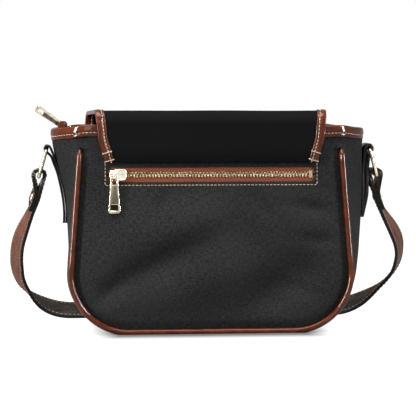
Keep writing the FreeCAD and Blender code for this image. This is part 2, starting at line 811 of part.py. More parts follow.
def ring(side, turn):
    """A wire ring with rounded corners; its upper bar turns in the tab's loop."""
    half = "( strap_wide / 2 + fit_gap )"
    tall = "ring_long - 2 * ring_round"
    pieces = []
    for name, height in (("Upper", "0"), ("Lower", "- ring_long")):
        bar = primitive(
            "Cylinder", f"Ring{name}_{side}", ("0", half, height),
            Radius="ring_wire / 2", Height=f"2 * {half}",
        )
        pieces.append(turned(bar, X_AXIS, 90))
    for name, sign in (("Near", "-"), ("Far", "")):
        beside = f"{sign}( strap_wide / 2 + fit_gap + ring_round )"
        post = primitive(
            "Cylinder", f"Ring{name}_{side}", ("0", beside, "ring_round - ring_long"),
            Radius="ring_wire / 2", Height=tall,
        )
        pieces.append(post)
    upright = Rotation(Vector(1, 1, 1), 120)
    corners = (("", "- ring_round"), ("-", "- ring_round"),
               ("-", "ring_round - ring_long"), ("", "ring_round - ring_long"))
    for number, (sign, height) in enumerate(corners):
        bend = primitive(
            "Torus", f"RingBend{number}_{side}", ("0", f"{sign}{half}", height),
            Radius1="ring_round", Radius2="ring_wire / 2", Angle3="90",
        )
        bend.Placement.Rotation = Rotation(X_AXIS, 90 * number).multiply(upright)
        pieces.append(bend)
    lean = Placement(Vector(), Rotation(Y_AXIS, -size("ring_lean")))
    node(fused(f"Ring_{side}", pieces), f"ring_{side}", ring_frame(turn).multiply(lean))


def strap_points():
    """Corners of the strap's path from the right tail round to the left one, in its tilted plane."""
    lean = math.radians(size("ring_lean"))
    tilt = math.radians(size("strap_tilt"))
    bar = Vector(PIVOT_HALF + size("ring_long") * math.sin(lean), 0, -size("ring_long") * math.cos(lean))
    crest = bar.z + WIRE + GAP + PLY
    eye = size("strap_eye_half")
    join = bar - Vector(0, 0, size("strap_eye_drop"))
    side = Vector(size("strap_half_span"), 0, -size("strap_bend_low"))
    low_edge = size("strap_wide") / 2 * math.sin(tilt)
    floor = PLY - (size("ring_pivot_height") - low_edge) / math.cos(tilt)
    down = (side - join).normalize()
    outward = normal_of(join, side)
    tail_top = join + outward * (2 * PLY + GAP)
    right = [
        tail_top + down * size("strap_tail"),
        tail_top,
        Vector(bar.x + eye, 0, crest),
        Vector(bar.x - eye, 0, crest),
        join,
        side,
        Vector(side.x, 0, floor),
    ]
    left = [Vector(-point.x, 0, point.z) for point in reversed(right)]
    return right + left, join, down, outward


def strap():
    """Two leather plies round the bag's far side, turned over each ring and held by a rivet."""
    points, join, down, outward = strap_points()
    side, foot = points[5:7]
    turn = down.getAngle(foot - side)
    spare = side.z - foot.z - size("strap_round_low")
    side_bend = min(size("strap_round_side"), spare / math.tan(turn / 2))
    bends = [
        size("strap_join_round") / 2, size("strap_eye_round"), size("strap_eye_round"),
        size("strap_join_round"), side_bend, size("strap_round_low"),
    ]
    bends = bends + bends[::-1]
    face = ribbon(points, bends, 0, PLY, size("strap_wide"))
    back = ribbon(points, bends, -PLY, 0, size("strap_wide"))

    depth = 2 * PLY + GAP
    middle = join + down * size("rivet_down") + outward * (depth / 2)
    total = 2 * depth - GAP
    bores = []
    for side, turn in (("right", Placement()), ("left", HALF_TURN)):
        axis = Rotation(Z_AXIS, outward)
        seat = turn.multiply(Placement(middle - outward * (total / 2), axis))
        head = size("rivet_head_thick")
        shaft = primitive("Cylinder", f"RivetShaft_{side}", Radius="rivet_radius", Height=str(total))
        low = primitive("Cylinder", f"RivetLow_{side}", ("0", "0", "- rivet_head_thick"),
                        Radius="rivet_head", Height="rivet_head_thick")
        high = primitive("Cylinder", f"RivetHigh_{side}", ("0", "0", str(total)),
                         Radius="rivet_head", Height="rivet_head_thick")
        node(fused(f"Rivet_{side}", [shaft, low, high]), f"strap_rivet_{side}", CARRY.multiply(seat))
        bore = Part.makeCylinder(size("rivet_radius"), total + 2 * head)
        bores.append(placed(bore, seat.multiply(Placement(Vector(0, 0, -head), Rotation()))))
    bore = bores[0].fuse(bores[1])
    node(shaped("StrapFace", face.cut(bore)), "strap_face", CARRY)
    node(shaped("StrapLining", back.cut(bore)), "strap_lining", CARRY)


def write_parts():
    """Checks every object, then writes each sub-part to its own file."""
    doc.recompute()
    for obj in doc.Objects:
        if "Invalid" in obj.State or "Error" in obj.State:
            raise RuntimeError(f"{obj.Label} failed to build")
    for obj in nodes:
        if obj.Shape.isNull() or not obj.Shape.isValid() or not obj.Shape.Solids:
            raise RuntimeError(f"{obj.Label} has no valid solid")
    os.makedirs("parts", exist_ok=True)
    for obj in nodes:
        obj.Shape.exportStep(f"parts/{obj.Label}.step")


def main():
    """Builds the bag from the body outwards and writes its sub-parts."""
    outer, wall = body()
    piping("BackPiping", "back_piping", BACK, outer)
    piping("FrontPiping", "front_piping", FRONT, outer)
    rim_binding(wall)
    pocket()
    top_closure()
    flap()
    for side, turn in (("right", Placement()), ("left", HALF_TURN)):
        side_tab(side, turn)
        tab_loop(side, turn)
        ring(side, turn)
    strap()
    write_parts()


main()
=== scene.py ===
"""Looks of a saddle handbag: a soft fabric body, glossy leather trim, zips, a flap and a strap.

Every surface is worked out in the part's own frame, in metres: +Z up, the origin in the middle of
the flat base, and the back of the bag, with its pocket zip, facing -Y.
"""

import logging
import math
from dataclasses import dataclass, field
from enum import Enum

import bpy
import numpy as np
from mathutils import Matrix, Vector


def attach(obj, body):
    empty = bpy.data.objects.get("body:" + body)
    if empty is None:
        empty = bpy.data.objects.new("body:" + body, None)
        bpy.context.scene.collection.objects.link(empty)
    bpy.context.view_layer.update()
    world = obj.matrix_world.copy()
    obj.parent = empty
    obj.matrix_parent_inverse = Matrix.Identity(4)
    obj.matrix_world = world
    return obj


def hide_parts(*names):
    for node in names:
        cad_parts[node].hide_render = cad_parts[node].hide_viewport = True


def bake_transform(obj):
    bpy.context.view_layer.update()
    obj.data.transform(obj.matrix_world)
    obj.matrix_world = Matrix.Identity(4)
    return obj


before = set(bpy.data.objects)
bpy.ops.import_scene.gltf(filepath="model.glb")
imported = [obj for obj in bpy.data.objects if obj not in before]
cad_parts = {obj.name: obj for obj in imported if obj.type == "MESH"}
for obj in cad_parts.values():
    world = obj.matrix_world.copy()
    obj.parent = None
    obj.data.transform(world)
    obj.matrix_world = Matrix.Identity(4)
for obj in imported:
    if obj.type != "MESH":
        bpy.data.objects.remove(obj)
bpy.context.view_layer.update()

LOG = logging.getLogger("handbag")
MM = 0.001
Array = np.ndarray
Pair = tuple[float, float]
Triple = tuple[float, float, float]
Quad = tuple[float, float, float, float]
X_AXIS, Y_AXIS, UP = np.eye(3)
MIRROR = np.array([-1, 1, 1])
ARC_POINTS = 25
# Faces that meet at more than this many degrees keep a crisp edge between them.
SHARP_EDGE = 50.0


class Side(Enum):
    """The two ends of the bag, with the sign of their X."""

    LEFT = -1
    RIGHT = 1


class Face(Enum):
    """The two large faces of the bag, with the sign of their Y."""

    BACK = -1
    FRONT = 1


# Numbers and paths


def to_linear(colour: str) -> Quad:
    """Turns an sRGB hex colour to linear red, green, blue and alpha.

    Args:
        colour: a colour such as "#7a3a1c".

    Returns:
        Four linear values, with alpha 1.
    """
    channels = np.array([int(colour[start:start + 2], 16) for start in (1, 3, 5)]) / 255
    low = channels / 12.92
    high = ((channels + 0.055) / 1.055) ** 2.4
    return (*np.where(channels <= 0.04045, low, high).tolist(), 1.0)


def smooth_step(value: Array, low: float, high: float) -> Array:
    """Rises from 0 at low to 1 at high along 3t^2 - 2t^3."""
    t = np.clip((value - low) / (high - low), 0, 1)
    return t * t * (3 - 2 * t)


def hump(value: Array, start: float, full: float, fade: float, end: float) -> Array:
    """Rises from 0 to 1 between start and full, and falls back to 0 between fade and end."""
    return smooth_step(value, start, full) * (1 - smooth_step(value, fade, end))


def unit(vectors: Array) -> Array:
    """Vectors divided by their lengths."""
    return vectors / np.maximum(np.linalg.norm(vectors, axis=-1, keepdims=True), 1e-12)


def turn_about(axis: Array | Triple, degrees: float) -> Array:
    """The matrix that turns a column vector about an axis: I + sin K + (1 - cos) K^2.

    Args:
        axis: the axis, of any length.
        degrees: the angle, anticlockwise as seen from the axis's tip.

    Returns:
        A 3 by 3 rotation matrix.
    """
    x, y, z = unit(np.array(axis, float))
    cross = np.array([[0, -z, y], [z, 0, -x], [-y, x, 0]])
    angle = math.radians(degrees)
    return np.eye(3) + math.sin(angle) * cross + (1 - math.cos(angle)) * cross @ cross


@dataclass(frozen=True)
class Place:
    """A local frame: where its origin lies and how it is turned."""

    origin: Triple = (0.0, 0.0, 0.0)
    rotation: Array = field(default_factory=lambda: np.eye(3))

    def world(self, points: Array) -> Array:
        """Local points in the bag's frame."""
        return np.asarray(points) @ self.rotation.T + np.array(self.origin)

    def within(self, origin: Triple, rotation: Array = np.eye(3)) -> "Place":
        """A frame inside this one, by its origin and its turn in this one."""
        return Place(tuple(self.world(np.array(origin))), self.rotation @ rotation)


def lengths_along(path: Array) -> Array:
    """Distance from the start of a path to each of its points."""
    steps = np.linalg.norm(np.diff(path, axis=0), axis=1)
    return np.concatenate([[0.0], np.cumsum(steps)])


def resampled(path: Array, step: float, closed: bool = False) -> Array:
    """The path with its points evenly spaced, by straight interpolation on its length.

    Args:
        path: points by 2 or 3, and any further columns that ride along.
        step: the wanted spacing.
        closed: the last point joins the first, and isn't repeated.

    Returns:
        The new points.
    """
    line = np.vstack([path, path[:1]]) if closed else path
    run = lengths_along(line[:, :3])
    count = max(2, int(round(run[-1] / step)))
    marks = np.linspace(0, run[-1], count + 1)
    if closed:
        marks = marks[:-1]
    return np.stack([np.interp(marks, run, line[:, k]) for k in range(line.shape[1])], axis=1)


def softened(path: Array, points: int, closed: bool) -> Array:
    """The path averaged over a window of neighbours, which rounds its corners.

    Args:
        path: evenly spaced points.
        points: how many neighbours on each side share in the average.
        closed: the window wraps round the ends.

    Returns:
        The rounded path, with an open path's ends where they were.
    """
    mode = "wrap" if closed else "edge"
    padded = np.pad(path, ((points, points), (0, 0)), mode=mode)
    weights = np.hanning(2 * points + 3)[1:-1]
    weights /= weights.sum()
    result = np.stack([np.convolve(padded[:, k], weights, "valid") for k in range(path.shape[1])], axis=1)
    if not closed:
        result[0], result[-1] = path[0], path[-1]
    return result


def rounded_path(corners: Array, radii: list[float], step: float) -> Array:
    """A broken line in a plane with a tangent arc at each inner corner.

    An arc of radius r at a corner that turns by a starts r tan(a / 2) before it, and its centre lies
    on the corner's bisector.

    Args:
        corners: the corners, by two coordinates.
        radii: a radius for each inner corner.
        step: the spacing of the points.

    Returns:
        Evenly spaced points along the line.
    """
    pieces = [corners[:1]]
    for corner, before, after, radius in zip(corners[1:-1], corners, corners[2:], radii):
        back, ahead = unit(before - corner), unit(after - corner)
        half_turn = (math.pi - math.acos(np.clip(back @ ahead, -1, 1))) / 2
        centre = corner + unit(back + ahead) * radius / math.cos(half_turn)
        start = corner + back * radius * math.tan(half_turn) - centre
        end = corner + ahead * radius * math.tan(half_turn) - centre
        sweep = np.linspace(0, 1, ARC_POINTS)[:, None]
        pieces.append(centre + radius * unit(start * (1 - sweep) + end * sweep))
    pieces.append(corners[-1:])
    return resampled(np.vstack(pieces), step)


def tangents(path: Array, closed: bool = False) -> Array:
    """Unit direction of travel at each point of a path."""
    if closed:
        return unit(np.roll(path, -1, axis=0) - np.roll(path, 1, axis=0))
    return unit(np.gradient(path, axis=0))


def carried(path: Array, side: Array, rise: Array, profile: Array) -> Array:
    """A profile carried along a path: point + first coordinate x side + second coordinate x rise.

    Args:
        path: points by 3.
        side: the direction of the profile's first coordinate, one or one per point.
        rise: the direction of the profile's second coordinate, one or one per point.
        profile: the profile's points by 2, or one profile per path point.

    Returns:
        A grid of path points by profile points.
    """
    side = np.broadcast_to(side, path.shape)[:, None, :]
    rise = np.broadcast_to(rise, path.shape)[:, None, :]
    profile = np.broadcast_to(profile, (len(path), *profile.shape[-2:]))
    return path[:, None, :] + profile[..., :1] * side + profile[..., 1:] * rise


def circle_profile(radius: float, count: int) -> Array:
    """Points evenly round a circle."""
    angles = np.linspace(0, 2 * math.pi, count, endpoint=False)
    return radius * np.stack([np.cos(angles), np.sin(angles)], axis=1)


def bar_profile(wide: float, thick: float, corner: float, count: int = 4) -> Array:
    """A rectangle with round corners, as four quarter circles in turn.

    Args:
        wide: its first size.
        thick: its second size.
        corner: the radius of its corners.
        count: points in each corner.

    Returns:
        Points by 2, anticlockwise, starting at the upper right corner.
    """
    quarter = np.linspace(0, math.pi / 2, count)
    angles = quarter + np.arange(4)[:, None] * math.pi / 2
    signs = np.array([[1, 1], [-1, 1], [-1, -1], [1, -1]])
    centres = signs * (np.array([wide, thick]) / 2 - corner)
    arcs = corner * np.stack([np.cos(angles), np.sin(angles)], axis=2)
    return (centres[:, None, :] + arcs).reshape(-1, 2)


# Meshes


@dataclass
class Patch:
    """A grid of points, or a batch of equal grids, and how its edges join.

    points: rows by columns by 3, or batch by rows by columns by 3.
    around: the last column joins the first.
    along: the last row joins the first.
    capped: the first and last rows are each closed by a face.
    inside: a point that an open grid's faces look away from.
    slot: the material of the faces, one number or one per column.
    uv: the place of each point on the flat material, in metres; by length along the grid if None.
    """

    points: Array
    around: bool = False
    along: bool = False
    capped: bool = False
    inside: Triple | None = None
    slot: int | Array = 0
    uv: Array | None = None

    def __post_init__(self) -> None:
        """Takes one grid as a batch of one."""
        if self.points.ndim == 3:
            self.points = self.points[None]

    def flat_places(self) -> Array:
        """The UV of each corner, by length along the grid if none is given.

        Returns:
            Rows by columns by 2, with one more of each where the grid wraps.
        """
        if self.uv is not None:
            return self.uv
        grid = self.points[0]
        grid = np.concatenate([grid, grid[:, :1]], axis=1) if self.around else grid
        grid = np.concatenate([grid, grid[:1]], axis=0) if self.along else grid
        rows = np.linalg.norm(np.diff(grid, axis=0), axis=2).mean(axis=1)
        columns = np.linalg.norm(np.diff(grid, axis=1), axis=2).mean(axis=0)
        places = np.zeros((*grid.shape[:2], 2))
        places[..., 0] = np.concatenate([[0.0], np.cumsum(rows)])[:, None]
        places[..., 1] = np.concatenate([[0.0], np.cumsum(columns)])[None, :]
        return places

    def faces(self) -> tuple[Array, Array, Array, Array]:
        """Corner numbers, corner UVs and material of every four-sided face, and the caps' corners.

        Returns:
            Faces by 4, faces by 4 by 2, faces, and caps by columns. Faces look outwards.
        """
        batch, rows, columns = self.points.shape[:3]
        index = np.arange(batch * rows * columns).reshape(batch, rows, columns)
        wide = np.concatenate([index, index[:, :, :1]], axis=2) if self.around else index
        tall = np.concatenate([wide, wide[:, :1]], axis=1) if self.along else wide
        corners = (tall[:, :-1, :-1], tall[:, :-1, 1:], tall[:, 1:, 1:], tall[:, 1:, :-1])
        quads = np.stack(corners, axis=-1)
        slots = np.broadcast_to(np.asarray(self.slot), quads.shape[:3]).reshape(-1)
        quads = quads.reshape(-1, 4)
        flat = self.flat_places()
        uv = np.stack((flat[:-1, :-1], flat[:-1, 1:], flat[1:, 1:], flat[1:, :-1]), axis=2)
        uv = np.broadcast_to(uv, (batch, *uv.shape)).reshape(-1, 4, 2)
        caps = np.concatenate([index[:, 0, ::-1], index[:, -1]]) if self.capped else index[:0, 0]
        cloud = self.points.reshape(-1, 3)
        middle = self.points.mean(axis=(1, 2)).repeat(len(quads) // batch, axis=0)
        reference = middle if self.inside is None else np.array(self.inside)
        spots = cloud[quads]
        normals = np.cross(spots[:, 2] - spots[:, 0], spots[:, 3] - spots[:, 1])
        if ((spots.mean(axis=1) - reference) * normals).sum() < 0:
            quads, uv, caps = quads[:, ::-1], uv[:, ::-1], caps[:, ::-1]
        return quads, uv, slots, caps


def rod(points: Array, slot: int | Array = 0) -> Patch:
    """A grid that is closed round its columns and capped at both ends."""
    return Patch(points, around=True, capped=True, slot=slot)


def make_piece(name: str, patches: list[Patch], finishes: list[bpy.types.Material]) -> bpy.types.Object:
    """Joins patches into one smooth mesh object at the origin.

    Args:
        name: the piece's name.
        patches: its surfaces.
        finishes: its materials, in the order of the patches' slots.

    Returns:
        The new object, linked to the scene.
    """
    cloud, polygons, places, slots = [], [], [], []
    start = 0
    for patch in patches:
        quads, uv, slot, caps = patch.faces()
        polygons += (quads + start).tolist() + (caps + start).tolist()
        places += [uv.reshape(-1, 2), np.zeros((caps.size, 2))]
        slots += [slot, np.full(len(caps), np.max(patch.slot))]
        cloud.append(patch.points.reshape(-1, 3))
        start += len(cloud[-1])
    mesh = bpy.data.meshes.new(name)
    mesh.from_pydata(np.vstack(cloud).tolist(), [], polygons)
    layer = mesh.uv_layers.new(name="flat")
    layer.data.foreach_set("uv", np.vstack(places).astype(np.float32).ravel())
    mesh.polygons.foreach_set("material_index", np.concatenate(slots).astype(np.int32))
    mesh.polygons.foreach_set("use_smooth", np.ones(len(polygons), bool))
    mesh.set_sharp_from_angle(angle=math.radians(SHARP_EDGE))
    for finish in finishes:
        mesh.materials.append(finish)
    piece = bpy.data.objects.new(name, mesh)
    bpy.context.scene.collection.objects.link(piece)
    return piece


def thicken(piece: bpy.types.Object, thick: float) -> None:
    """Gives an open sheet its thickness, on the inner side of its faces.

    Args:
        piece: the sheet.
        thick: its thickness.
    """
    wall = piece.modifiers.new("wall", "SOLIDIFY")
    wall.thickness = thick
    wall.offset = -1.0
    wall.use_even_offset = True


def declare(piece: bpy.types.Object, slot: str, *stands_for: str) -> None:
    """Hides the solids that a piece replaces, and reports it.

    Args:
        piece: the piece.
        slot: the record's material slot; not used.
        stands_for: the solids that it replaces.
    """
    if stands_for:
        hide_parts(*stands_for)
    LOG.info("%s: %d faces", piece.name, len(piece.data.polygons))


def dressed(
    name: str, patches: list[Patch], finishes: list[bpy.types.Material],
    body: str, slot: str, *stands_for: str, thick: float = 0.0,
) -> None:
    """Args:
        name: the piece's name.
        patches: its surfaces.
        finishes: its materials, in the order of the patches' slots.
        body: the body that it moves with.
        slot: the record's material slot.
        stands_for: the solids that it replaces.
        thick: the thickness that an open sheet gets.
    """
    piece = make_piece(name, patches, finishes)
    if thick:
        thicken(piece, thick)
    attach(piece, body)
    declare(piece, slot, *stands_for)


def frame_dress(name: str, finish: bpy.types.Material) -> None:
    """Gives a solid that stays in the picture its finish."""
    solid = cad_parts[name]
    solid.data.materials.clear()
    solid.data.materials.append(finish)


def stacked(outline: Array, levels: Array) -> Array:
    """An outline repeated at several heights, drawn in towards its middle at each.

    Args:
        outline: points by 2, round the middle of the shape.
        levels: heights by 2: the height, and how far the outline is drawn in there.

    Returns:
        A grid of heights by outline points, in the outline's plane and its normal.
    """
    middle = outline.mean(axis=0)
    away = outline - middle
    reach = np.linalg.norm(away, axis=1, keepdims=True)
    rings = middle + away[None] * (1 - levels[:, 1, None, None] / reach[None])
    heights = np.broadcast_to(levels[:, :1, None], (*rings.shape[:2], 1))
    return np.concatenate([rings, heights], axis=2)


def plate_levels(low: float, high: float, bevel: float) -> Array:
    """Levels of a plate with bevelled edges, for stacked().

    Args:
        low: height of its lower face.
        high: height of its upper face.
        bevel: size of its bevels.

    Returns:
        Heights by 2.
    """
    round_off = 0.3 * bevel
    lower = [[low, bevel], [low + round_off, round_off], [low + bevel, 0.0]]
    upper = [[high - bevel, 0.0], [high - round_off, round_off], [high, bevel]]
    return np.array(lower + upper)


# Stations along a stitch, as shares of its length, and how thick the thread is at each.
STITCH_ROWS = np.array([-0.5, -0.38, 0.38, 0.5])
STITCH_SWELL = np.array([0.35, 1.0, 1.0, 0.35])
STITCH_SIDES = 6


@dataclass(frozen=True)
class Sewing:
    """A kind of seam: from one stitch to the next, the length of a stitch and the thread's radius."""

    pitch: float
    long: float
    radius: float


def stitches(path: Array, out: Array, sewing: Sewing, closed: bool = False) -> Patch:
    """A row of short thread capsules that lie along a path.

    Each stitch is a six-sided tube between its two needle holes, thinner at both ends.

    Args:
        path: the line of the row.
        out: the direction that the material faces, one or one per path point.
        sewing: the sizes of its stitches.
        closed: the row closes on itself.

    Returns:
        A patch that holds every stitch.
    """
    line = resampled(np.hstack([path, np.broadcast_to(out, path.shape)]), sewing.pitch, closed)
    centre, rise = line[:, :3], unit(line[:, 3:])
    ahead = tangents(centre, closed)
    aside = unit(np.cross(ahead, rise))
    ring = circle_profile(sewing.radius, STITCH_SIDES)
    stations = centre[:, None] + (STITCH_ROWS * sewing.long)[None, :, None] * ahead[:, None]
    sink = (STITCH_SWELL - 1)[None, :, None] * sewing.radius * rise[:, None]
    section = ring[:, :1] * aside[:, None, None] + ring[:, 1:] * rise[:, None, None]
    spread = STITCH_SWELL[None, :, None, None] * section
    return rod((stations + sink)[:, :, None] + spread)


# Finishes

Socket = bpy.types.NodeSocket
Tree = bpy.types.NodeTree
Look = dict[str, object]


def node(tree: Tree, kind: str, inputs: dict, out: int | str = 0, **settings: object) -> Socket:
    """Adds a shader node with its settings, and sets or links its inputs.

    Args:
        tree: the material's tree.
        kind: the node's type, without its ShaderNode prefix.
        inputs: a value or another node's output for each named or numbered input.
        out: the output that is wanted.
        settings: values of the node's own properties.

    Returns:
        The wanted output.
    """
    made = tree.nodes.new("ShaderNode" + kind)
    for key, value in settings.items():
        setattr(made, key, value)
    for key, value in inputs.items():
        if isinstance(value, Socket):
            tree.links.new(value, made.inputs[key])
        else:
            made.inputs[key].default_value = value
    return made.outputs[out]


def mottle(tree: Tree, place: Socket, along: float, across: float, detail: float = 2.0) -> Socket:
    """Uneven blotches from 0 to 1, as long and as wide as given in metres."""
    scale = (1 / along, 1 / across, 1 / across)
    spot = node(tree, "Mapping", {"Vector": place, "Scale": scale})
    return node(tree, "TexNoise", {"Vector": spot, "Scale": 1.0, "Detail": detail})


def wave(tree: Tree, distance: Socket, pitch: float) -> Socket:
    """Ribs from 0 to 1 that repeat every pitch: 0.5 + 0.5 sin(2 pi distance / pitch)."""
    angle = node(tree, "Math", {0: distance, 1: 2 * math.pi / pitch}, operation="MULTIPLY")
    swing = node(tree, "Math", {0: angle}, operation="SINE")
    return node(tree, "Math", {0: swing, 1: 0.5, 2: 0.5}, operation="MULTIPLY_ADD")


def two_tone(tree: Tree, value: Socket, low: float, high: float, first: str, last: str) -> Socket:
    """A colour that goes from one to another as a value goes from low to high."""
    share = node(tree, "MapRange", {0: value, 1: low, 2: high})
    return node(tree, "Mix", {0: share, 6: to_linear(first), 7: to_linear(last)}, 2, data_type="RGBA")


@dataclass(frozen=True)
class Finish:
    """A material: its name, and the lighter and darker of its two main colours."""

    name: str
    colour: str
    dark: str

    def surface(self, tree: Tree) -> Look:
        """The shader's inputs, by name; each kind of finish works out its own."""
        raise NotImplementedError

    def material(self) -> bpy.types.Material:
        """The finished material.

        Returns:
            The material, with its nodes linked.
        """
        made = bpy.data.materials.new(self.name)
        made.use_nodes = True
        tree = made.node_tree
        tree.nodes.clear()
        shader = node(tree, "BsdfPrincipled", self.surface(tree))
        output = tree.nodes.new("ShaderNodeOutputMaterial")
        tree.links.new(shader, output.inputs["Surface"])
        return made


@dataclass(frozen=True)
class WovenCloth(Finish):
    """Plain-woven synthetic cloth: matt, with uneven threads both ways and a little sheen on its fibres.

    The real threads are about 0.45 mm apart, too fine to show from a step away, so the weave is drawn
    at a coarser pitch. A slub is a thick place in a thread, and a blotch one where the dye varies.
    """

    pitch: float = 0.9 * MM
    slub_long: float = 4 * MM
    slub_wide: float = 1.0 * MM
    blotch: float = 60 * MM
    relief: float = 0.2 * MM
    rough: float = 0.78
    rough_range: float = 0.08
    sheen: float = 0.03
    sheen_rough: float = 0.4
    shine: float = 0.03
    contrast: float = 1.35
    drift: float = 0.1

    def surface(self, tree: Tree) -> Look:
        """Colour and bump from the weave, sin u x sin v, and from slubs that run along either thread.

        Args:
            tree: the material's tree.

        Returns:
            The shader's inputs, by name.
        """
        place = node(tree, "UVMap", {}, uv_map="flat")
        axes = [node(tree, "SeparateXYZ", {0: place}, k) for k in (0, 1)]
        ribs = [wave(tree, axis, self.pitch) for axis in axes]
        weave = node(tree, "Math", {0: ribs[0], 1: ribs[1]}, operation="MULTIPLY")
        warp = mottle(tree, place, self.slub_wide, self.slub_long)
        weft = mottle(tree, place, self.slub_long, self.slub_wide)
        blotches = mottle(tree, place, self.blotch, self.blotch, 0.0)
        cloud = node(tree, "MapRange", {0: blotches, 3: 0.5 - self.drift, 4: 0.5 + self.drift})
        slubs = node(tree, "Math", {0: warp, 1: weft}, operation="ADD")
        shade = node(tree, "Math", {0: slubs, 1: 0.4 * self.contrast, 2: cloud}, operation="MULTIPLY_ADD")
        shade = node(tree, "Math", {0: weave, 1: 0.3, 2: shade}, operation="MULTIPLY_ADD")
        darkest, palest = 0.6 + 0.25 * self.contrast, 0.85 + 0.45 * self.contrast
        smooth, coarse = self.rough - self.rough_range, self.rough + self.rough_range
        woven = node(tree, "Bump", {"Height": weave, "Distance": self.relief, "Strength": 0.7})
        uneven = {"Height": slubs, "Distance": self.relief, "Strength": 0.5, "Normal": woven}
        return {
            "Base Color": two_tone(tree, shade, darkest, palest, self.dark, self.colour),
            "Roughness": node(tree, "MapRange", {0: slubs, 2: 2.0, 3: coarse, 4: smooth}),
            "Normal": node(tree, "Bump", uneven),
            "Sheen Weight": self.sheen,
            "Sheen Roughness": self.sheen_rough,
            "Specular IOR Level": self.shine,
        }


@dataclass(frozen=True)
class Leather(Finish):
    """Coated split leather: pebbled grain under a clear finish, with paler scuffs on its raised grain."""

    worn: str = "#8a4a2a"
    grain: float = 1.1 * MM
    hide_long: float = 12 * MM
    hide_wide: float = 6 * MM
    relief: float = 0.06 * MM
    slack: float = 0.9 * MM
    rough: float = 0.3
    shine: float = 0.0
    coat: float = 0.45
    coat_rough: float = 0.07
    coat_index: float = 1.5

    def surface(self, tree: Tree) -> Look:
        """Colour that drifts over the hide, and a bump of grain cells, fine creases and slack leather.

        Args:
            tree: the material's tree.

        Returns:
            The shader's inputs, by name.
        """
        place = node(tree, "UVMap", {}, uv_map="flat")
        grid = node(tree, "Mapping", {"Vector": place, "Scale": (1 / self.grain,) * 3})
        cells = node(tree, "TexVoronoi", {"Vector": grid, "Scale": 1.0, "Randomness": 0.9}, "Distance")
        creases = mottle(tree, place, 3 * self.grain, 1.2 * self.grain, 4.0)
        drift = mottle(tree, place, self.hide_long, self.hide_wide, 2.0)
        hide = two_tone(tree, drift, 0.3, 0.72, self.dark, self.colour)
        scuff = node(tree, "MapRange", {0: creases, 1: 0.55, 2: 0.8, 4: 0.3})
        worn = {0: scuff, 6: hide, 7: to_linear(self.worn)}
        pebbled = node(tree, "Bump", {"Height": cells, "Distance": self.relief, "Strength": 0.5})
        creased = {"Height": creases, "Distance": self.relief, "Strength": 0.6, "Normal": pebbled}
        creased = node(tree, "Bump", creased)
        slack = {"Height": drift, "Distance": self.slack, "Strength": 1.0, "Normal": creased}
        return {
            "Base Color": node(tree, "Mix", worn, 2, data_type="RGBA"),
            "Roughness": node(tree, "MapRange", {0: creases, 3: self.rough - 0.06, 4: self.rough + 0.12}),
            "Normal": node(tree, "Bump", slack),
            "Coat Weight": self.coat,
            "Coat Roughness": self.coat_rough,
            "Coat IOR": self.coat_index,
            "Specular IOR Level": self.shine,
        }


@dataclass(frozen=True)
class Plating(Finish):
    """Zinc alloy with a polished plating: mirror-like, with fine polishing marks and dull spots."""

    rough: float = 0.2
    metallic: float = 1.0
    mark_long: float = 2.5 * MM
    mark_wide: float = 0.25 * MM
    mark_deep: float = 0.008 * MM
    spot: float = 4 * MM

    def surface(self, tree: Tree) -> Look:
        """Colour and roughness that drift with handling, and very fine marks along the piece.

        Args:
            tree: the material's tree.

        Returns:
            The shader's inputs, by name.
        """
        place = node(tree, "TexCoord", {}, "Object")
        marks = mottle(tree, place, self.mark_wide, self.mark_long, 3.0)
        dull = mottle(tree, place, self.spot, self.spot, 3.0)
        return {
            "Base Color": two_tone(tree, dull, 0.25, 0.7, self.dark, self.colour),
            "Roughness": node(tree, "MapRange", {0: dull, 3: self.rough - 0.05, 4: self.rough + 0.1}),
            "Metallic": self.metallic,
            "Normal": node(tree, "Bump", {"Height": marks, "Distance": self.mark_deep, "Strength": 0.5}),
        }


@dataclass(frozen=True)
class Thread(Finish):
    """Bonded sewing thread: softly glossy, with the twist of its three plies."""

    twist: float = 0.55 * MM
    spot: float = 3 * MM
    relief: float = 0.08 * MM

    def surface(self, tree: Tree) -> Look:
        """Slanted twist lines along each stitch, and a colour that varies from stitch to stitch.

        Args:
            tree: the material's tree.

        Returns:
            The shader's inputs, by name.
        """
        flat = node(tree, "UVMap", {}, uv_map="flat")
        axes = [node(tree, "SeparateXYZ", {0: flat}, k) for k in (0, 1)]
        slant = node(tree, "Math", {0: axes[0], 1: axes[1]}, operation="ADD")
        plies = wave(tree, slant, self.twist)
        spots = mottle(tree, node(tree, "TexCoord", {}, "Object"), self.spot, self.spot)
        shade = node(tree, "Math", {0: plies, 1: 0.5, 2: spots}, operation="MULTIPLY_ADD")
        return {
            "Base Color": two_tone(tree, shade, 0.3, 1.1, self.dark, self.colour),
            "Roughness": node(tree, "MapRange", {0: plies, 3: 0.6, 4: 0.45}),
            "Normal": node(tree, "Bump", {"Height": plies, "Distance": self.relief, "Strength": 0.8}),
        }


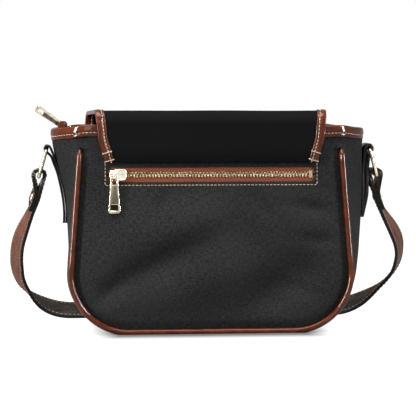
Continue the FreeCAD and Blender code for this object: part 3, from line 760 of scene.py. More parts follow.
@dataclass(frozen=True)
class ZipTape(Finish):
    """Woven polyester zip tape in a herringbone: rows of slanting threads that change direction.

    The real threads are about 0.6 mm apart, too fine to show from a step away, so they are drawn coarser.
    """

    band: float = 3.6 * MM
    pitch: float = 2.8 * MM
    fuzz: float = 1.5 * MM
    relief: float = 0.2 * MM
    shine: float = 0.1

    def surface(self, tree: Tree) -> Look:
        """Height of the herringbone: a wave of u plus the folded distance across each band.

        Args:
            tree: the material's tree.

        Returns:
            The shader's inputs, by name.
        """
        place = node(tree, "UVMap", {}, uv_map="flat")
        axes = [node(tree, "SeparateXYZ", {0: place}, k) for k in (0, 1)]
        fold = node(tree, "Math", {0: axes[1], 1: self.band}, operation="PINGPONG")
        slant = node(tree, "Math", {0: axes[0], 1: fold}, operation="ADD")
        ribs = wave(tree, slant, self.pitch)
        fuzz = mottle(tree, place, self.fuzz, self.fuzz)
        shade = node(tree, "Math", {0: ribs, 1: 2.0, 2: fuzz}, operation="MULTIPLY_ADD")
        return {
            "Base Color": two_tone(tree, shade, 0.3, 2.5, self.dark, self.colour),
            "Roughness": node(tree, "MapRange", {0: ribs, 3: 0.85, 4: 0.7}),
            "Normal": node(tree, "Bump", {"Height": ribs, "Distance": self.relief, "Strength": 0.8}),
            "Specular IOR Level": self.shine,
        }


@dataclass(frozen=True)
class Board(Finish):
    """Pressed fibreboard: matt grey-brown with short fibres."""

    fibre_long: float = 3 * MM
    fibre_wide: float = 0.7 * MM
    relief: float = 0.1 * MM
    rough: float = 0.9

    def surface(self, tree: Tree) -> Look:
        """Colour and bump from a mat of fibres.

        Args:
            tree: the material's tree.

        Returns:
            The shader's inputs, by name.
        """
        place = node(tree, "TexCoord", {}, "Object")
        fibres = mottle(tree, place, self.fibre_long, self.fibre_wide, 5.0)
        return {
            "Base Color": two_tone(tree, fibres, 0.3, 0.7, self.dark, self.colour),
            "Roughness": self.rough,
            "Normal": node(tree, "Bump", {"Height": fibres, "Distance": self.relief, "Strength": 0.6}),
        }


class Finishes:
    """Every material of the bag, made once."""

    def __init__(self) -> None:
        """Makes the materials."""
        # Dyed yarn in a plain weave: a matt charcoal with fine paler slubs.
        self.canvas = WovenCloth("woven_black_polyester", "#424242", "#1c1c1c").material()
        # Cloth pressed flat between hot rollers: an even, deep black with hardly any texture.
        self.flap_cloth = WovenCloth(
            "calendered_black_polyester", "#1d1d1d", "#181818", pitch=0.7 * MM,
            relief=0.05 * MM, rough=0.8, sheen=0.0, shine=0.0, contrast=0.5).material()
        # Thin lining of smooth filament: finer and a little silkier than the shell.
        self.lining = WovenCloth(
            "black_polyester_lining", "#2a2a2c", "#1b1b1d", pitch=0.7 * MM, rough=0.6).material()
        # Dyed hide under a hard glaze: a red brown with sharp bright lines along its rolled edges.
        self.tan = Leather("glazed_cognac_leather", "#6c2c0d", "#421805").material()
        # The same hide under a satin wax: paler, with soft highlights only.
        self.strap_tan = Leather(
            "satin_cognac_leather", "#80503f", "#5d3629", worn="#9c7160", rough=0.5,
            coat=0.2, coat_rough=0.3).material()
        # Black hide under a thin clear coat: near black, with a grey edge of light.
        self.black = Leather(
            "coated_black_leather", "#191919", "#0d0d0d", worn="#2c2c2c", rough=0.36,
            coat=0.35, coat_rough=0.2).material()
        # The bare flesh side of a black split: a dull, warm dark grey.
        self.grey = Leather(
            "black_split_leather", "#47443f", "#2e2c29", worn="#5a564f", rough=0.6,
            coat=0.0, grain=0.9 * MM).material()
        # Plated castings: a pale gold that mirrors its surroundings, a little dulled by handling.
        self.gold = Plating("pale_gold_plated_zinc", "#d3c9b2", "#8e836c", rough=0.15).material()
        # The same plating from the polishing drum: brighter and smoother.
        self.slider_gold = Plating("polished_pale_gold", "#f2ecdf", "#d2c7ae", rough=0.1).material()
        # Pressed teeth darkened in a bath: a dull yellow brown that glints on its edges.
        self.brass = Plating("antique_brass_teeth", "#7d705a", "#50473a", rough=0.3).material()
        # Brushed and darkened plate: a brown black with a wide, soft shine.
        self.gunmetal = Plating(
            "brushed_dark_bronze", "#5b5446", "#3a352c", rough=0.42, metallic=0.75).material()
        # Nickel on steel: a neutral and fairly sharp mirror.
        self.steel = Plating("nickel_plated_steel", "#c9c9c6", "#9b9b99", rough=0.22).material()
        # Undyed bonded thread: pale beads along each seam.
        self.thread = Thread("bonded_ecru_thread", "#e6d9c0", "#b59f7c").material()
        # Thread dyed near to the strap: a quiet line of beads.
        self.strap_thread = Thread("bonded_tan_thread", "#a58a6c", "#6b543e").material()
        # Herringbone weave: slanting ribs in two directions, with hardly any shine.
        self.tape = ZipTape("herringbone_zip_tape", "#b06446", "#66301e").material()
        # Pressed fibres: a flat grey brown.
        self.board = Board("grey_fibreboard", "#8a8378", "#5f594f").material()


# Cutting pattern


@dataclass(frozen=True)
class Pattern:
    """The cutting pattern that the pieces of the bag share, in metres and degrees."""

    flat_half: float = 75 * MM
    panel_corner: float = 54.5 * MM
    panel_lean: float = 4.4
    gusset_corner: float = 62.5 * MM
    gusset_lean: float = -3.5
    half_depth: float = 46 * MM
    tilt: float = 3.0
    rim: float = 188 * MM
    rim_dip: float = 4 * MM
    fabric: float = 1.4 * MM
    window_long: float = 189 * MM
    window_tall: float = 13 * MM
    window_height: float = 144.5 * MM
    window_round: float = 5 * MM
    corner_ease: float = 2.6 * MM
    ease_spread: float = 9 * MM
    ease_heights: Pair = (158 * MM, 182 * MM)
    ease_aim: Pair = (-0.3, -0.95)
    set_left: float = -9.0 * MM
    set_right: float = 3.0 * MM
    set_heights: Quad = (15 * MM, 80 * MM, 112 * MM, 180 * MM)

    def place(self, face: Face) -> Place:
        """The frame of a large panel: X across, Z up the panel and -Y outwards."""
        lean = turn_about(X_AXIS, -self.tilt)
        turn = lean if face is Face.BACK else turn_about(UP, 180) @ lean
        return Place((0.0, face.value * self.half_depth, 0.0), turn)

    @property
    def panel_top(self) -> float:
        """Length of a panel from the base to the rim, up its slope."""
        return self.rim / math.cos(math.radians(self.tilt))

    def half_width(self, height: float | Array, corner: float, lean: float) -> float | Array:
        """Half the width of a U outline at a height on its straight sides."""
        angle = math.radians(lean)
        return self.flat_half + corner / math.cos(angle) - (height - corner) * math.tan(angle)

    def panel_half(self, height: float | Array) -> float | Array:
        """Half the width of a large panel at a height."""
        return self.half_width(height, self.panel_corner, self.panel_lean)

    def gusset_half(self, height: float | Array) -> float | Array:
        """Half the width of the bag at the middle of the gusset, at a height."""
        return self.half_width(height, self.gusset_corner, self.gusset_lean)

    def seam_depth(self, height: float | Array) -> float | Array:
        """Distance of a large panel's seam from the middle of the bag at a height."""
        return self.half_depth - height * math.tan(math.radians(self.tilt))

    def u_half(self, corner: float, lean: float, top: float, inset: float = 0.0) -> Array:
        """The right half of a U outline, from the end of its flat base, round the corner and up the side.

        The corner is an arc about (flat half, corner radius), and the side is the tangent at its end.

        Args:
            corner: radius of the corner.
            lean: degrees that the side leans inwards.
            top: height of its upper end.
            inset: how far the outline is drawn in.

        Returns:
            Points by 2: distance from the middle and height.
        """
        angle = math.radians(lean)
        sweep = np.linspace(-math.pi / 2, angle, 40)
        bend = corner - inset
        arc = np.stack([self.flat_half + bend * np.cos(sweep), corner + bend * np.sin(sweep)], axis=1)
        head = np.array([self.half_width(top, corner, lean) - inset / math.cos(angle), top])
        share = np.linspace(0, 1, 61)[1:, None]
        return np.vstack([arc, arc[-1] + (head - arc[-1]) * share])

    def u_outline(self, corner: float, lean: float, top: float, inset: float = 0.0) -> Array:
        """The whole U outline from the left upper end, under the base, to the right upper end.

        Args:
            corner: radius of its corners.
            lean: degrees that its sides lean inwards.
            top: height of its upper ends.
            inset: how far it is drawn in.

        Returns:
            Points by 2.
        """
        right = self.u_half(corner, lean, top, inset)
        share = np.linspace(-1, 1, 61)[1:-1, None]
        base = share * np.array([[self.flat_half, 0.0]]) + np.array([[0.0, inset]])
        return np.vstack([right[::-1] * np.array([-1, 1]), base, right])

    def panel_line(self, top: float, inset: float = 0.0) -> Array:
        """The U outline of a large panel, up to a height."""
        return self.u_outline(self.panel_corner, self.panel_lean, top, inset)

    def wall(self, drop: float = 0.0, inset: float = 0.0) -> Array:
        """Three outlines that the gusset passes through: back panel, middle of the bag, front panel.

        Args:
            drop: how far below the rim they end.
            inset: how far they are drawn in.

        Returns:
            Three by points by 3.
        """
        panel = self.panel_line(self.panel_top - drop, inset)
        low_rim = self.rim - self.rim_dip - drop
        middle = self.u_outline(self.gusset_corner, self.gusset_lean, low_rim, inset)
        flat = np.stack([panel[:, 0], np.full(len(panel), inset), panel[:, 1]], axis=1)
        back = self.place(Face.BACK).world(flat)
        front = self.place(Face.FRONT).world(flat * MIRROR)
        centre = np.stack([middle[:, 0], np.zeros(len(middle)), middle[:, 1]], axis=1)
        return np.stack([back, centre, front])

    def set_of_side(self, points: Array) -> Array:
        """How far the soft gusset stands out half way up: in at the left and out at the right."""
        bell = hump(points[..., 2], *self.set_heights)
        return bell * np.where(points[..., 0] < 0, self.set_left, self.set_right)

    def loop(self, drop: float) -> Array:
        """The line round the walls at a drop below the rim: along the back, right, front and left.

        Args:
            drop: how far below the rim it lies.

        Returns:
            Points by 3, as a closed line.
        """
        sections = self.wall(drop)[:, -1]
        right = through_three(sections, np.linspace(-1, 1, 61)[1:-1])
        across = np.linspace(-1, 1, 161)[:, None] * X_AXIS
        back = across * sections[0] + sections[0] * np.array([0, 1, 1])
        front = across[::-1] * sections[2] + sections[2] * np.array([0, 1, 1])
        return np.vstack([back, right, front, right[::-1] * MIRROR])


def eased(points: Array, pattern: Pattern) -> Array:
    """Draws in the upright corner between panel and gusset near the rim, where no piping stiffens it.

    A point moves inwards, mostly along Y, by a bell curve of its distance from the seam that grows
    towards the rim.

    Args:
        points: points of a wall, by 3.
        pattern: the cutting pattern.

    Returns:
        The moved points.
    """
    x, y, z = np.moveaxis(points, -1, 0)
    away = np.hypot(np.abs(x) - pattern.panel_half(z), np.abs(y) - pattern.seam_depth(z))
    near_rim = smooth_step(z, *pattern.ease_heights)
    amount = pattern.corner_ease * np.exp(-(away / pattern.ease_spread) ** 2) * near_rim
    aim_x, aim_y = pattern.ease_aim
    inward = np.stack([aim_x * np.sign(x), aim_y * np.sign(y), 0 * z], axis=-1)
    return points + amount[..., None] * inward


def through_three(sections: Array, places: Array) -> Array:
    """The parabola through three points, or three lines of points, read at places from -1 to 1."""
    weights = np.stack([places * (places - 1) / 2, 1 - places ** 2, places * (places + 1) / 2], axis=1)
    return np.tensordot(weights, sections, axes=1)


def grid_normals(points: Array, inside: Array) -> Array:
    """Unit normals of a grid, turned away from a point."""
    normals = unit(np.cross(np.gradient(points, axis=0), np.gradient(points, axis=1)))
    away = ((points - inside) * normals).sum()
    return normals * np.sign(away)


def ripple(first: Array, second: Array, length: float) -> Array:
    """Slow unevenness of soft cloth, from -1 to 1: three crossed sines of unlike lengths.

    Args:
        first: one coordinate.
        second: the other.
        length: length of the longest wave.

    Returns:
        A value for each point.
    """
    turn = 2 * math.pi / length
    one = np.sin(turn * (first + 0.37 * second))
    two = np.sin(turn * 1.63 * (second - 0.21 * first) + 1.7)
    three = np.sin(turn * 2.71 * (0.6 * first + 0.8 * second) + 0.6)
    return (one + two + 0.5 * three) / 2.5


def slot_outline(outline: Array, height: float, size: Array, corner: float) -> Array:
    """The nearest point of a round-cornered slot's rim to each point of an outline about it.

    Args:
        outline: points by 2, outside the slot.
        height: height of the slot's middle.
        size: its width and height.
        corner: radius of its corners.

    Returns:
        Points by 2, as many as the outline has.
    """
    core = size / 2 - corner
    centre = np.array([0.0, height])
    near = np.clip(outline - centre, -core, core)
    return centre + near + corner * unit(outline - centre - near)


def folded_profile(reach: float, wall: float, leather: float, seam: float, puff: float) -> Array:
    """Section of leather folded over an edge and sewn down.

    Its first coordinate is the depth from the edge and its second the height over the outer face of
    the wall. Both legs swell a little and are drawn in at the seam by the thread; a half circle joins
    them over the edge.

    Args:
        reach: how far the legs reach from the edge.
        wall: thickness of what is bound.
        leather: thickness of the leather.
        seam: depth of the row of stitches.
        puff: how far the leather swells beside the seam.

    Returns:
        Points by 2, as a closed outline.
    """
    round_end, groove, slack = 0.6 * MM, 0.8 * MM, 0.02 * MM
    depth = reach * (1 - np.linspace(0, 1, 20) ** 1.3)
    end = np.clip((reach - depth) / round_end, 0, 1)
    drawn_in = 1.6 * puff * np.exp(-((depth - seam) / groove) ** 2)
    swell = puff * np.sin(math.pi * np.clip(depth / reach, 0, 1)) - drawn_in
    height = (leather + swell) * np.sqrt(end * (2 - end) * 0.8 + 0.2)
    turn = np.linspace(0, math.pi, 12)[1:-1]
    round_edge = wall / 2 + leather
    over = np.stack([-leather * 1.1 * np.sin(turn), round_edge * np.cos(turn) - wall / 2], axis=1)
    outer = np.stack([depth, height], axis=1)
    inner = np.stack([depth[::-1], -wall - height[::-1]], axis=1)
    inside = np.array([[reach, -wall - slack], [slack, -wall - slack], [slack, slack], [reach, slack]])
    return np.vstack([outer, over, inner, inside])


# Body


@dataclass(frozen=True)
class SoftFold:
    """A shallow valley in a panel, or a ridge where it is less than 0 deep: its place, run and size."""

    middle: Pair
    slant: float
    long: float
    wide: float
    deep: float

    def depth(self, x: Array, z: Array) -> Array:
        """Depth at a point of the panel: a bell curve across the valley times one along it.

        Args:
            x: distance from the panel's middle.
            z: height up the panel.

        Returns:
            A depth for each point.
        """
        angle = math.radians(self.slant)
        along = (x - self.middle[0]) * math.cos(angle) + (z - self.middle[1]) * math.sin(angle)
        across = (z - self.middle[1]) * math.cos(angle) - (x - self.middle[0]) * math.sin(angle)
        return self.deep * np.exp(-(across / self.wide) ** 2 - (along / self.long) ** 2)


INNER_POINT = (0.0, 0.0, 90 * MM)

SOFT_FOLDS = (
    SoftFold((-52 * MM, 62 * MM), 27, 54 * MM, 11 * MM, 5.0 * MM),
    SoftFold((-36 * MM, 93 * MM), 24, 60 * MM, 20 * MM, -5.2 * MM),
    SoftFold((-14 * MM, 44 * MM), 26, 60 * MM, 22 * MM, -3.8 * MM),
    SoftFold((-92 * MM, 40 * MM), 45, 20 * MM, 7 * MM, 3.0 * MM),
    SoftFold((62 * MM, 42 * MM), 34, 38 * MM, 18 * MM, 7.4 * MM),
    SoftFold((103 * MM, 84 * MM), -4, 22 * MM, 6 * MM, 2.8 * MM),
    SoftFold((92 * MM, 113 * MM), -12, 20 * MM, 6 * MM, 2.8 * MM),
    SoftFold((84 * MM, 38 * MM), -20, 20 * MM, 6 * MM, 1.6 * MM),
    SoftFold((44 * MM, 117 * MM), -48, 24 * MM, 8 * MM, 2.4 * MM),
    SoftFold((-43 * MM, 121 * MM), 58, 14 * MM, 6 * MM, 1.8 * MM),
)


@dataclass
class Body:
    """The fabric shell, its lining, piping and rim binding."""

    pattern: Pattern
    finishes: Finishes
    bulge: float = 4.0 * MM
    crown_edge: float = 60 * MM
    crown_heights: Pair = (90 * MM, 140 * MM)
    free_edge: Pair = (4 * MM, 30 * MM)
    ripple_high: float = 0.35 * MM
    ripple_long: float = 95 * MM
    edge_turn: float = 3.4 * MM
    edge_wide: float = 13 * MM
    under_flap: float = 0.5
    window_turn: float = 0.8 * MM
    window_edge: Pair = (-0.2 * MM, 1.4 * MM)
    window_seam: float = 2.7 * MM
    seam_press: float = 0.3 * MM
    seam_wide: float = 0.9 * MM
    side_ripple: float = 70 * MM
    side_heights: Pair = (2 * MM, 30 * MM)
    side_edge: float = 18 * MM
    dent_deep: float = 0.7 * MM
    dent_at: Pair = (24 * MM, 118 * MM)
    dent_size: Pair = (9 * MM, 40 * MM)
    lining_thick: float = 0.5 * MM
    lining_inset: float = 2.0 * MM
    lining_drop: float = 5.5 * MM
    pocket_depth: float = 12.9 * MM
    piping_radius: float = 2.75 * MM
    piping_inset: float = 1.6 * MM
    piping_proud: float = 0.9 * MM
    piping_top: float = 167.5 * MM
    piping_taper: float = 5 * MM
    piping_dive: float = 2.2 * MM
    dive_long: float = 9 * MM
    rim_band: float = 9.5 * MM
    rim_leather: float = 1.2 * MM
    rim_seam: float = 5.9 * MM
    rim_puff: float = 0.55 * MM
    rim_step: float = 1.5 * MM
    rim_soft: int = 11
    rim_wave: Pair = (0.35 * MM, 83 * MM)
    rim_uneven: Pair = (0.2 * MM, 5.3 * MM)
    rim_sewing: Sewing = Sewing(3.4 * MM, 2.3 * MM, 0.36 * MM)
    window_sewing: Sewing = Sewing(3.4 * MM, 2.3 * MM, 0.3 * MM)
    sewing_in: Pair = (0.6 * MM, -0.4 * MM)
    sewing_up: float = 6 * MM
    sewing_lift: float = 0.15 * MM

    def edge_distance(self, x: Array, z: Array) -> Array:
        """Distance of a point of a panel from its sewn edge: from the corner's arc or a straight side.

        Args:
            x: distance from the middle.
            z: height up the panel.

        Returns:
            A distance for each point.
        """
        corner = self.pattern.panel_corner
        aside = np.abs(x) - self.pattern.flat_half
        round_edge = corner - np.hypot(np.maximum(aside, 0), np.maximum(corner - z, 0))
        straight = self.pattern.panel_half(z) - np.abs(x)
        return np.where(z < corner, np.minimum(round_edge, straight), straight)

    def window_distance(self, x: Array, z: Array) -> Array:
        """Distance of a point of the back panel from the rim of the zip's window.

        Args:
            x: distance from the middle.
            z: height up the panel.

        Returns:
            A distance for each point, less than 0 in the window.
        """
        pattern = self.pattern
        half = np.array([pattern.window_long, pattern.window_tall]) / 2 - pattern.window_round
        outside = np.stack([np.abs(x) - half[0], np.abs(z - pattern.window_height) - half[1]])
        return np.hypot(*np.maximum(outside, 0)) - pattern.window_round

    def swell(self, x: Array, z: Array, face: Face) -> Array:
        """How far a panel stands out from its flat pattern.

        It is a low crown over the lower panel, slow ripples, slanting soft folds, an edge that turns in
        to the seam, and on the back a turned-in window with a pressed seam. The front has shallow
        valleys alone, as the flap lies on it.

        Args:
            x: distance from the middle.
            z: height up the panel.
            face: which panel.

        Returns:
            Heights over the flat panel.
        """
        edge = self.edge_distance(x, z)
        crown = smooth_step(edge, 0, self.crown_edge) * (1 - smooth_step(z, *self.crown_heights))
        free = smooth_step(edge, *self.free_edge)
        height = self.bulge * crown + self.ripple_high * ripple(x, z, self.ripple_long) * free
        for fold in SOFT_FOLDS:
            deep = fold.depth(-x * face.value, z)
            if face is Face.FRONT:
                deep = self.under_flap * np.maximum(deep, 0)
            height = height - deep * free
        turned = 1 - smooth_step(edge, 0, self.edge_wide)
        height = height - self.edge_turn * turned * (z < self.piping_top)
        if face is Face.BACK:
            window = self.window_distance(x, z)
            height = height - self.window_turn * (1 - smooth_step(window, *self.window_edge))
            pressed = np.exp(-((window - self.window_seam) / self.seam_wide) ** 2)
            height = height - self.seam_press * pressed
        return height

    def panel_points(self, x: Array, z: Array, face: Face, lift: float = 0.0) -> Array:
        """Points on a panel's outer face, raised by a lift."""
        local = np.stack([x, -self.swell(x, z, face) - lift, z], axis=-1)
        return eased(self.pattern.place(face).world(local), self.pattern)

    def shell(self, name: str, patch: Patch, solid: str) -> None:
        """A wall of the shell, as thick as its fabric."""
        canvas = [self.finishes.canvas]
        dressed(name, [patch], canvas, "bag", "canvas", solid, thick=self.pattern.fabric)

    def back_panel(self) -> None:
        """The back panel as rings from the zip's window out to the sewn edge.

        Each ring point is a straight mix of a point of the panel's outline and the nearest point of the
        window's rim.
        """
        pattern = self.pattern
        u_line = pattern.panel_line(pattern.panel_top)
        lid = np.linspace(u_line[-1], u_line[0], 122)[1:-1]
        outline = resampled(np.vstack([u_line, lid]), step=2.2 * MM, closed=True)
        window = np.array([pattern.window_long, pattern.window_tall])
        rim = slot_outline(outline, pattern.window_height, window, pattern.window_round)
        share = np.linspace(0, 1, 66)[:, None, None] ** 1.25
        rings = rim[None] + (outline - rim)[None] * share
        points = self.panel_points(rings[..., 0], rings[..., 1], Face.BACK)
        flat = np.concatenate([rings, rings[:, :1]], axis=1)
        patch = Patch(points, around=True, inside=INNER_POINT, uv=flat)
        self.shell("back_panel_cloth", patch, "back_panel")

    def panel_rows(self, face: Face, depth: float, drop: float, inset: float) -> Patch:
        """A whole panel as rows from base to rim, each as wide as the outline there.

        Args:
            face: which panel.
            depth: how far inside the outer face it lies.
            drop: how far below the rim it ends.
            inset: how far its outline is drawn in.

        Returns:
            The panel, with its flat pattern.
        """
        pattern = self.pattern
        half = pattern.u_half(pattern.panel_corner, pattern.panel_lean, pattern.panel_top - drop, inset)
        x = half[:, :1] * np.linspace(-1, 1, 111)
        z = np.broadcast_to(half[:, 1:], x.shape)
        points = self.panel_points(x, z, face, -depth)
        return Patch(points, inside=INNER_POINT, uv=np.stack([x, z], axis=-1))

    def front_panel(self) -> None:
        """The front panel, under the fall of the flap."""
        self.shell("front_panel_cloth", self.panel_rows(Face.FRONT, 0, 0, 0), "front_panel")

    def gusset_points(self, drop: float = 0.0, inset: float = 0.0, rows: int = 41) -> tuple[Array, Array]:
        """The gusset as parabolas from the back seam through the middle to the front seam.

        Args:
            drop: how far below the rim it ends.
            inset: how far it is drawn in.
            rows: how many points lie across it.

        Returns:
            The grid along the U by across it, and its flat pattern.
        """
        places = np.linspace(-1, 1, rows)
        grid = through_three(self.pattern.wall(drop, inset), places).transpose(1, 0, 2)
        run = lengths_along(grid[:, rows // 2])
        cross = lengths_along(grid[len(grid) // 2])
        flat = np.stack(np.meshgrid(run, cross, indexing="ij"), axis=-1)
        free = 1 - (grid[..., 1] / self.pattern.seam_depth(grid[..., 2])) ** 2
        stand = self.pattern.set_of_side(grid) * free
        return grid + stand[..., None] * grid_normals(grid, np.array(INNER_POINT)), flat

    def gusset(self) -> None:
        """The gusset: side and base in one strip, with slow ripples and a dent beside each tab."""
        grid, flat = self.gusset_points()
        normals = grid_normals(grid, np.array(INNER_POINT))
        y, z = grid[..., 1], grid[..., 2]
        room = self.pattern.half_depth - np.abs(y)
        free = smooth_step(z, *self.side_heights) * smooth_step(room, 0, self.side_edge)
        aside = (np.abs(y) - self.dent_at[0]) / self.dent_size[0]
        above = (z - self.dent_at[1]) / self.dent_size[1]
        dent = np.exp(-aside ** 2) * np.exp(-above ** 2)
        height = free * (self.ripple_high * ripple(z, y, self.side_ripple) - self.dent_deep * dent)
        points = eased(grid + height[..., None] * normals, self.pattern)
        self.shell("gusset_cloth", Patch(points, inside=INNER_POINT, uv=flat), "gusset")

    def lining(self) -> None:
        """The lining: two walls and a gusset drawn in from the shell, open under the top zip."""
        inset = self.lining_inset
        grid, flat = self.gusset_points(self.lining_drop, inset)
        pocket_wall = np.array([0, self.pocket_depth, INNER_POINT[2]])
        room = grid[..., 1] > self.pattern.place(Face.BACK).world(pocket_wall)[1]
        start = int(np.argmax(room[len(room) // 2]))
        patches = [Patch(grid[:, start:], inside=INNER_POINT, uv=flat[:, start:])]
        for face, depth in ((Face.BACK, self.pocket_depth), (Face.FRONT, inset)):
            patches.append(self.panel_rows(face, depth, self.lining_drop, inset))
        cloth = [self.finishes.lining]
        dressed("lining_cloth", patches, cloth, "bag", "lining_cloth", "lining", thick=self.lining_thick)

    def piping(self, face: Face) -> None:
        """A round cord of leather along a panel's seam, tapered where it dives in under the rim.

        Args:
            face: which panel.
        """
        line = self.pattern.panel_line(self.piping_top, self.piping_inset)
        line = resampled(line, step=1.6 * MM)
        run = lengths_along(line)
        near_end = np.minimum(run, run[-1] - run)
        taper = np.sqrt(np.clip(near_end / self.piping_taper, 0.02, 1))
        dive = self.piping_dive * (1 - smooth_step(near_end, 0, self.dive_long))
        place = self.pattern.place(face)
        path = place.world(np.stack([line[:, 0], dive - self.piping_proud, line[:, 1]], axis=1))
        out = place.rotation @ -Y_AXIS
        side = unit(np.cross(tangents(path), out))
        profile = circle_profile(self.piping_radius, 20)[None] * taper[:, None, None]
        grid = carried(path, side, out, profile)
        grid[..., 2] = np.maximum(grid[..., 2], 0.0)
        name = face.name.lower() + "_piping"
        dressed(name + "_leather", [rod(grid)], [self.finishes.tan], "bag", "tan_leather", name)

    def rim_lines(self) -> tuple[Array, Array, Array]:
        """The rim's upper line, the direction down its wall and the direction outwards, all round.

        Returns:
            Points by 3, and two unit vectors for each.
        """
        upper = resampled(self.pattern.loop(0), self.rim_step, closed=True)
        lower = self.pattern.loop(self.rim_band)
        around = lengths_along(np.vstack([lower, lower[:1]]))[-1]
        lower = resampled(lower, around / len(upper), closed=True)
        upper, lower = [softened(line, self.rim_soft, closed=True) for line in (upper, lower)]
        run = np.arange(len(upper)) * self.rim_step
        wave_high, wave_long = self.rim_wave
        uneven_high, uneven_long = self.rim_uneven
        slow = wave_high * np.sin(2 * math.pi * run / wave_long)
        upper[:, 2] += slow + uneven_high * np.sin(run / uneven_long)
        down = unit(lower - upper)
        out = unit(np.cross(tangents(upper, closed=True), UP))
        return upper, down, out

    def rim_binding(self) -> None:
        """Leather folded over the rim and sewn through, with a row of pale stitches on both legs."""
        upper, down, out = self.rim_lines()
        leather, fabric = self.rim_leather, self.pattern.fabric
        profile = folded_profile(self.rim_band, fabric, leather, self.rim_seam, self.rim_puff)
        fold = Patch(carried(upper, down, out, profile), around=True, along=True)
        dressed("rim_binding_leather", [fold], [self.finishes.tan], "bag", "tan_leather", "rim_binding")
        seam = upper + self.rim_seam * down
        rows = []
        for height, facing in ((leather, 1), (-leather - fabric, -1)):
            rows.append(stitches(seam + height * out, facing * out, self.rim_sewing, closed=True))
        dressed("rim_stitching", rows, [self.finishes.thread], "bag", "tan_leather")

    def window_stitching(self) -> None:
        """A row of stitches round the zip's window, down both ends and along its foot."""
        pattern = self.pattern
        wide = pattern.window_long / 2 + self.window_seam - self.sewing_in[0]
        foot = pattern.window_height - pattern.window_tall / 2 - self.window_seam + self.sewing_in[1]
        head = pattern.window_height + pattern.window_tall / 2 + self.sewing_up
        corners = np.array([[-wide, head], [-wide, foot], [wide, foot], [wide, head]])
        line = resampled(corners, step=1.0 * MM)
        path = self.panel_points(line[:, 0], line[:, 1], Face.BACK, self.sewing_lift)
        out = pattern.place(Face.BACK).rotation @ -Y_AXIS
        row = stitches(path, out, self.window_sewing)
        dressed("window_stitching", [row], [self.finishes.thread], "bag", "canvas")

    def build(self) -> None:
        """Makes the shell from the inside out."""
        self.lining()
        self.back_panel()
        self.front_panel()
        self.gusset()
        for face in Face:
            self.piping(face)
        self.rim_binding()
        self.window_stitching()
        frame_dress("base_board", self.finishes.board)


# Zips


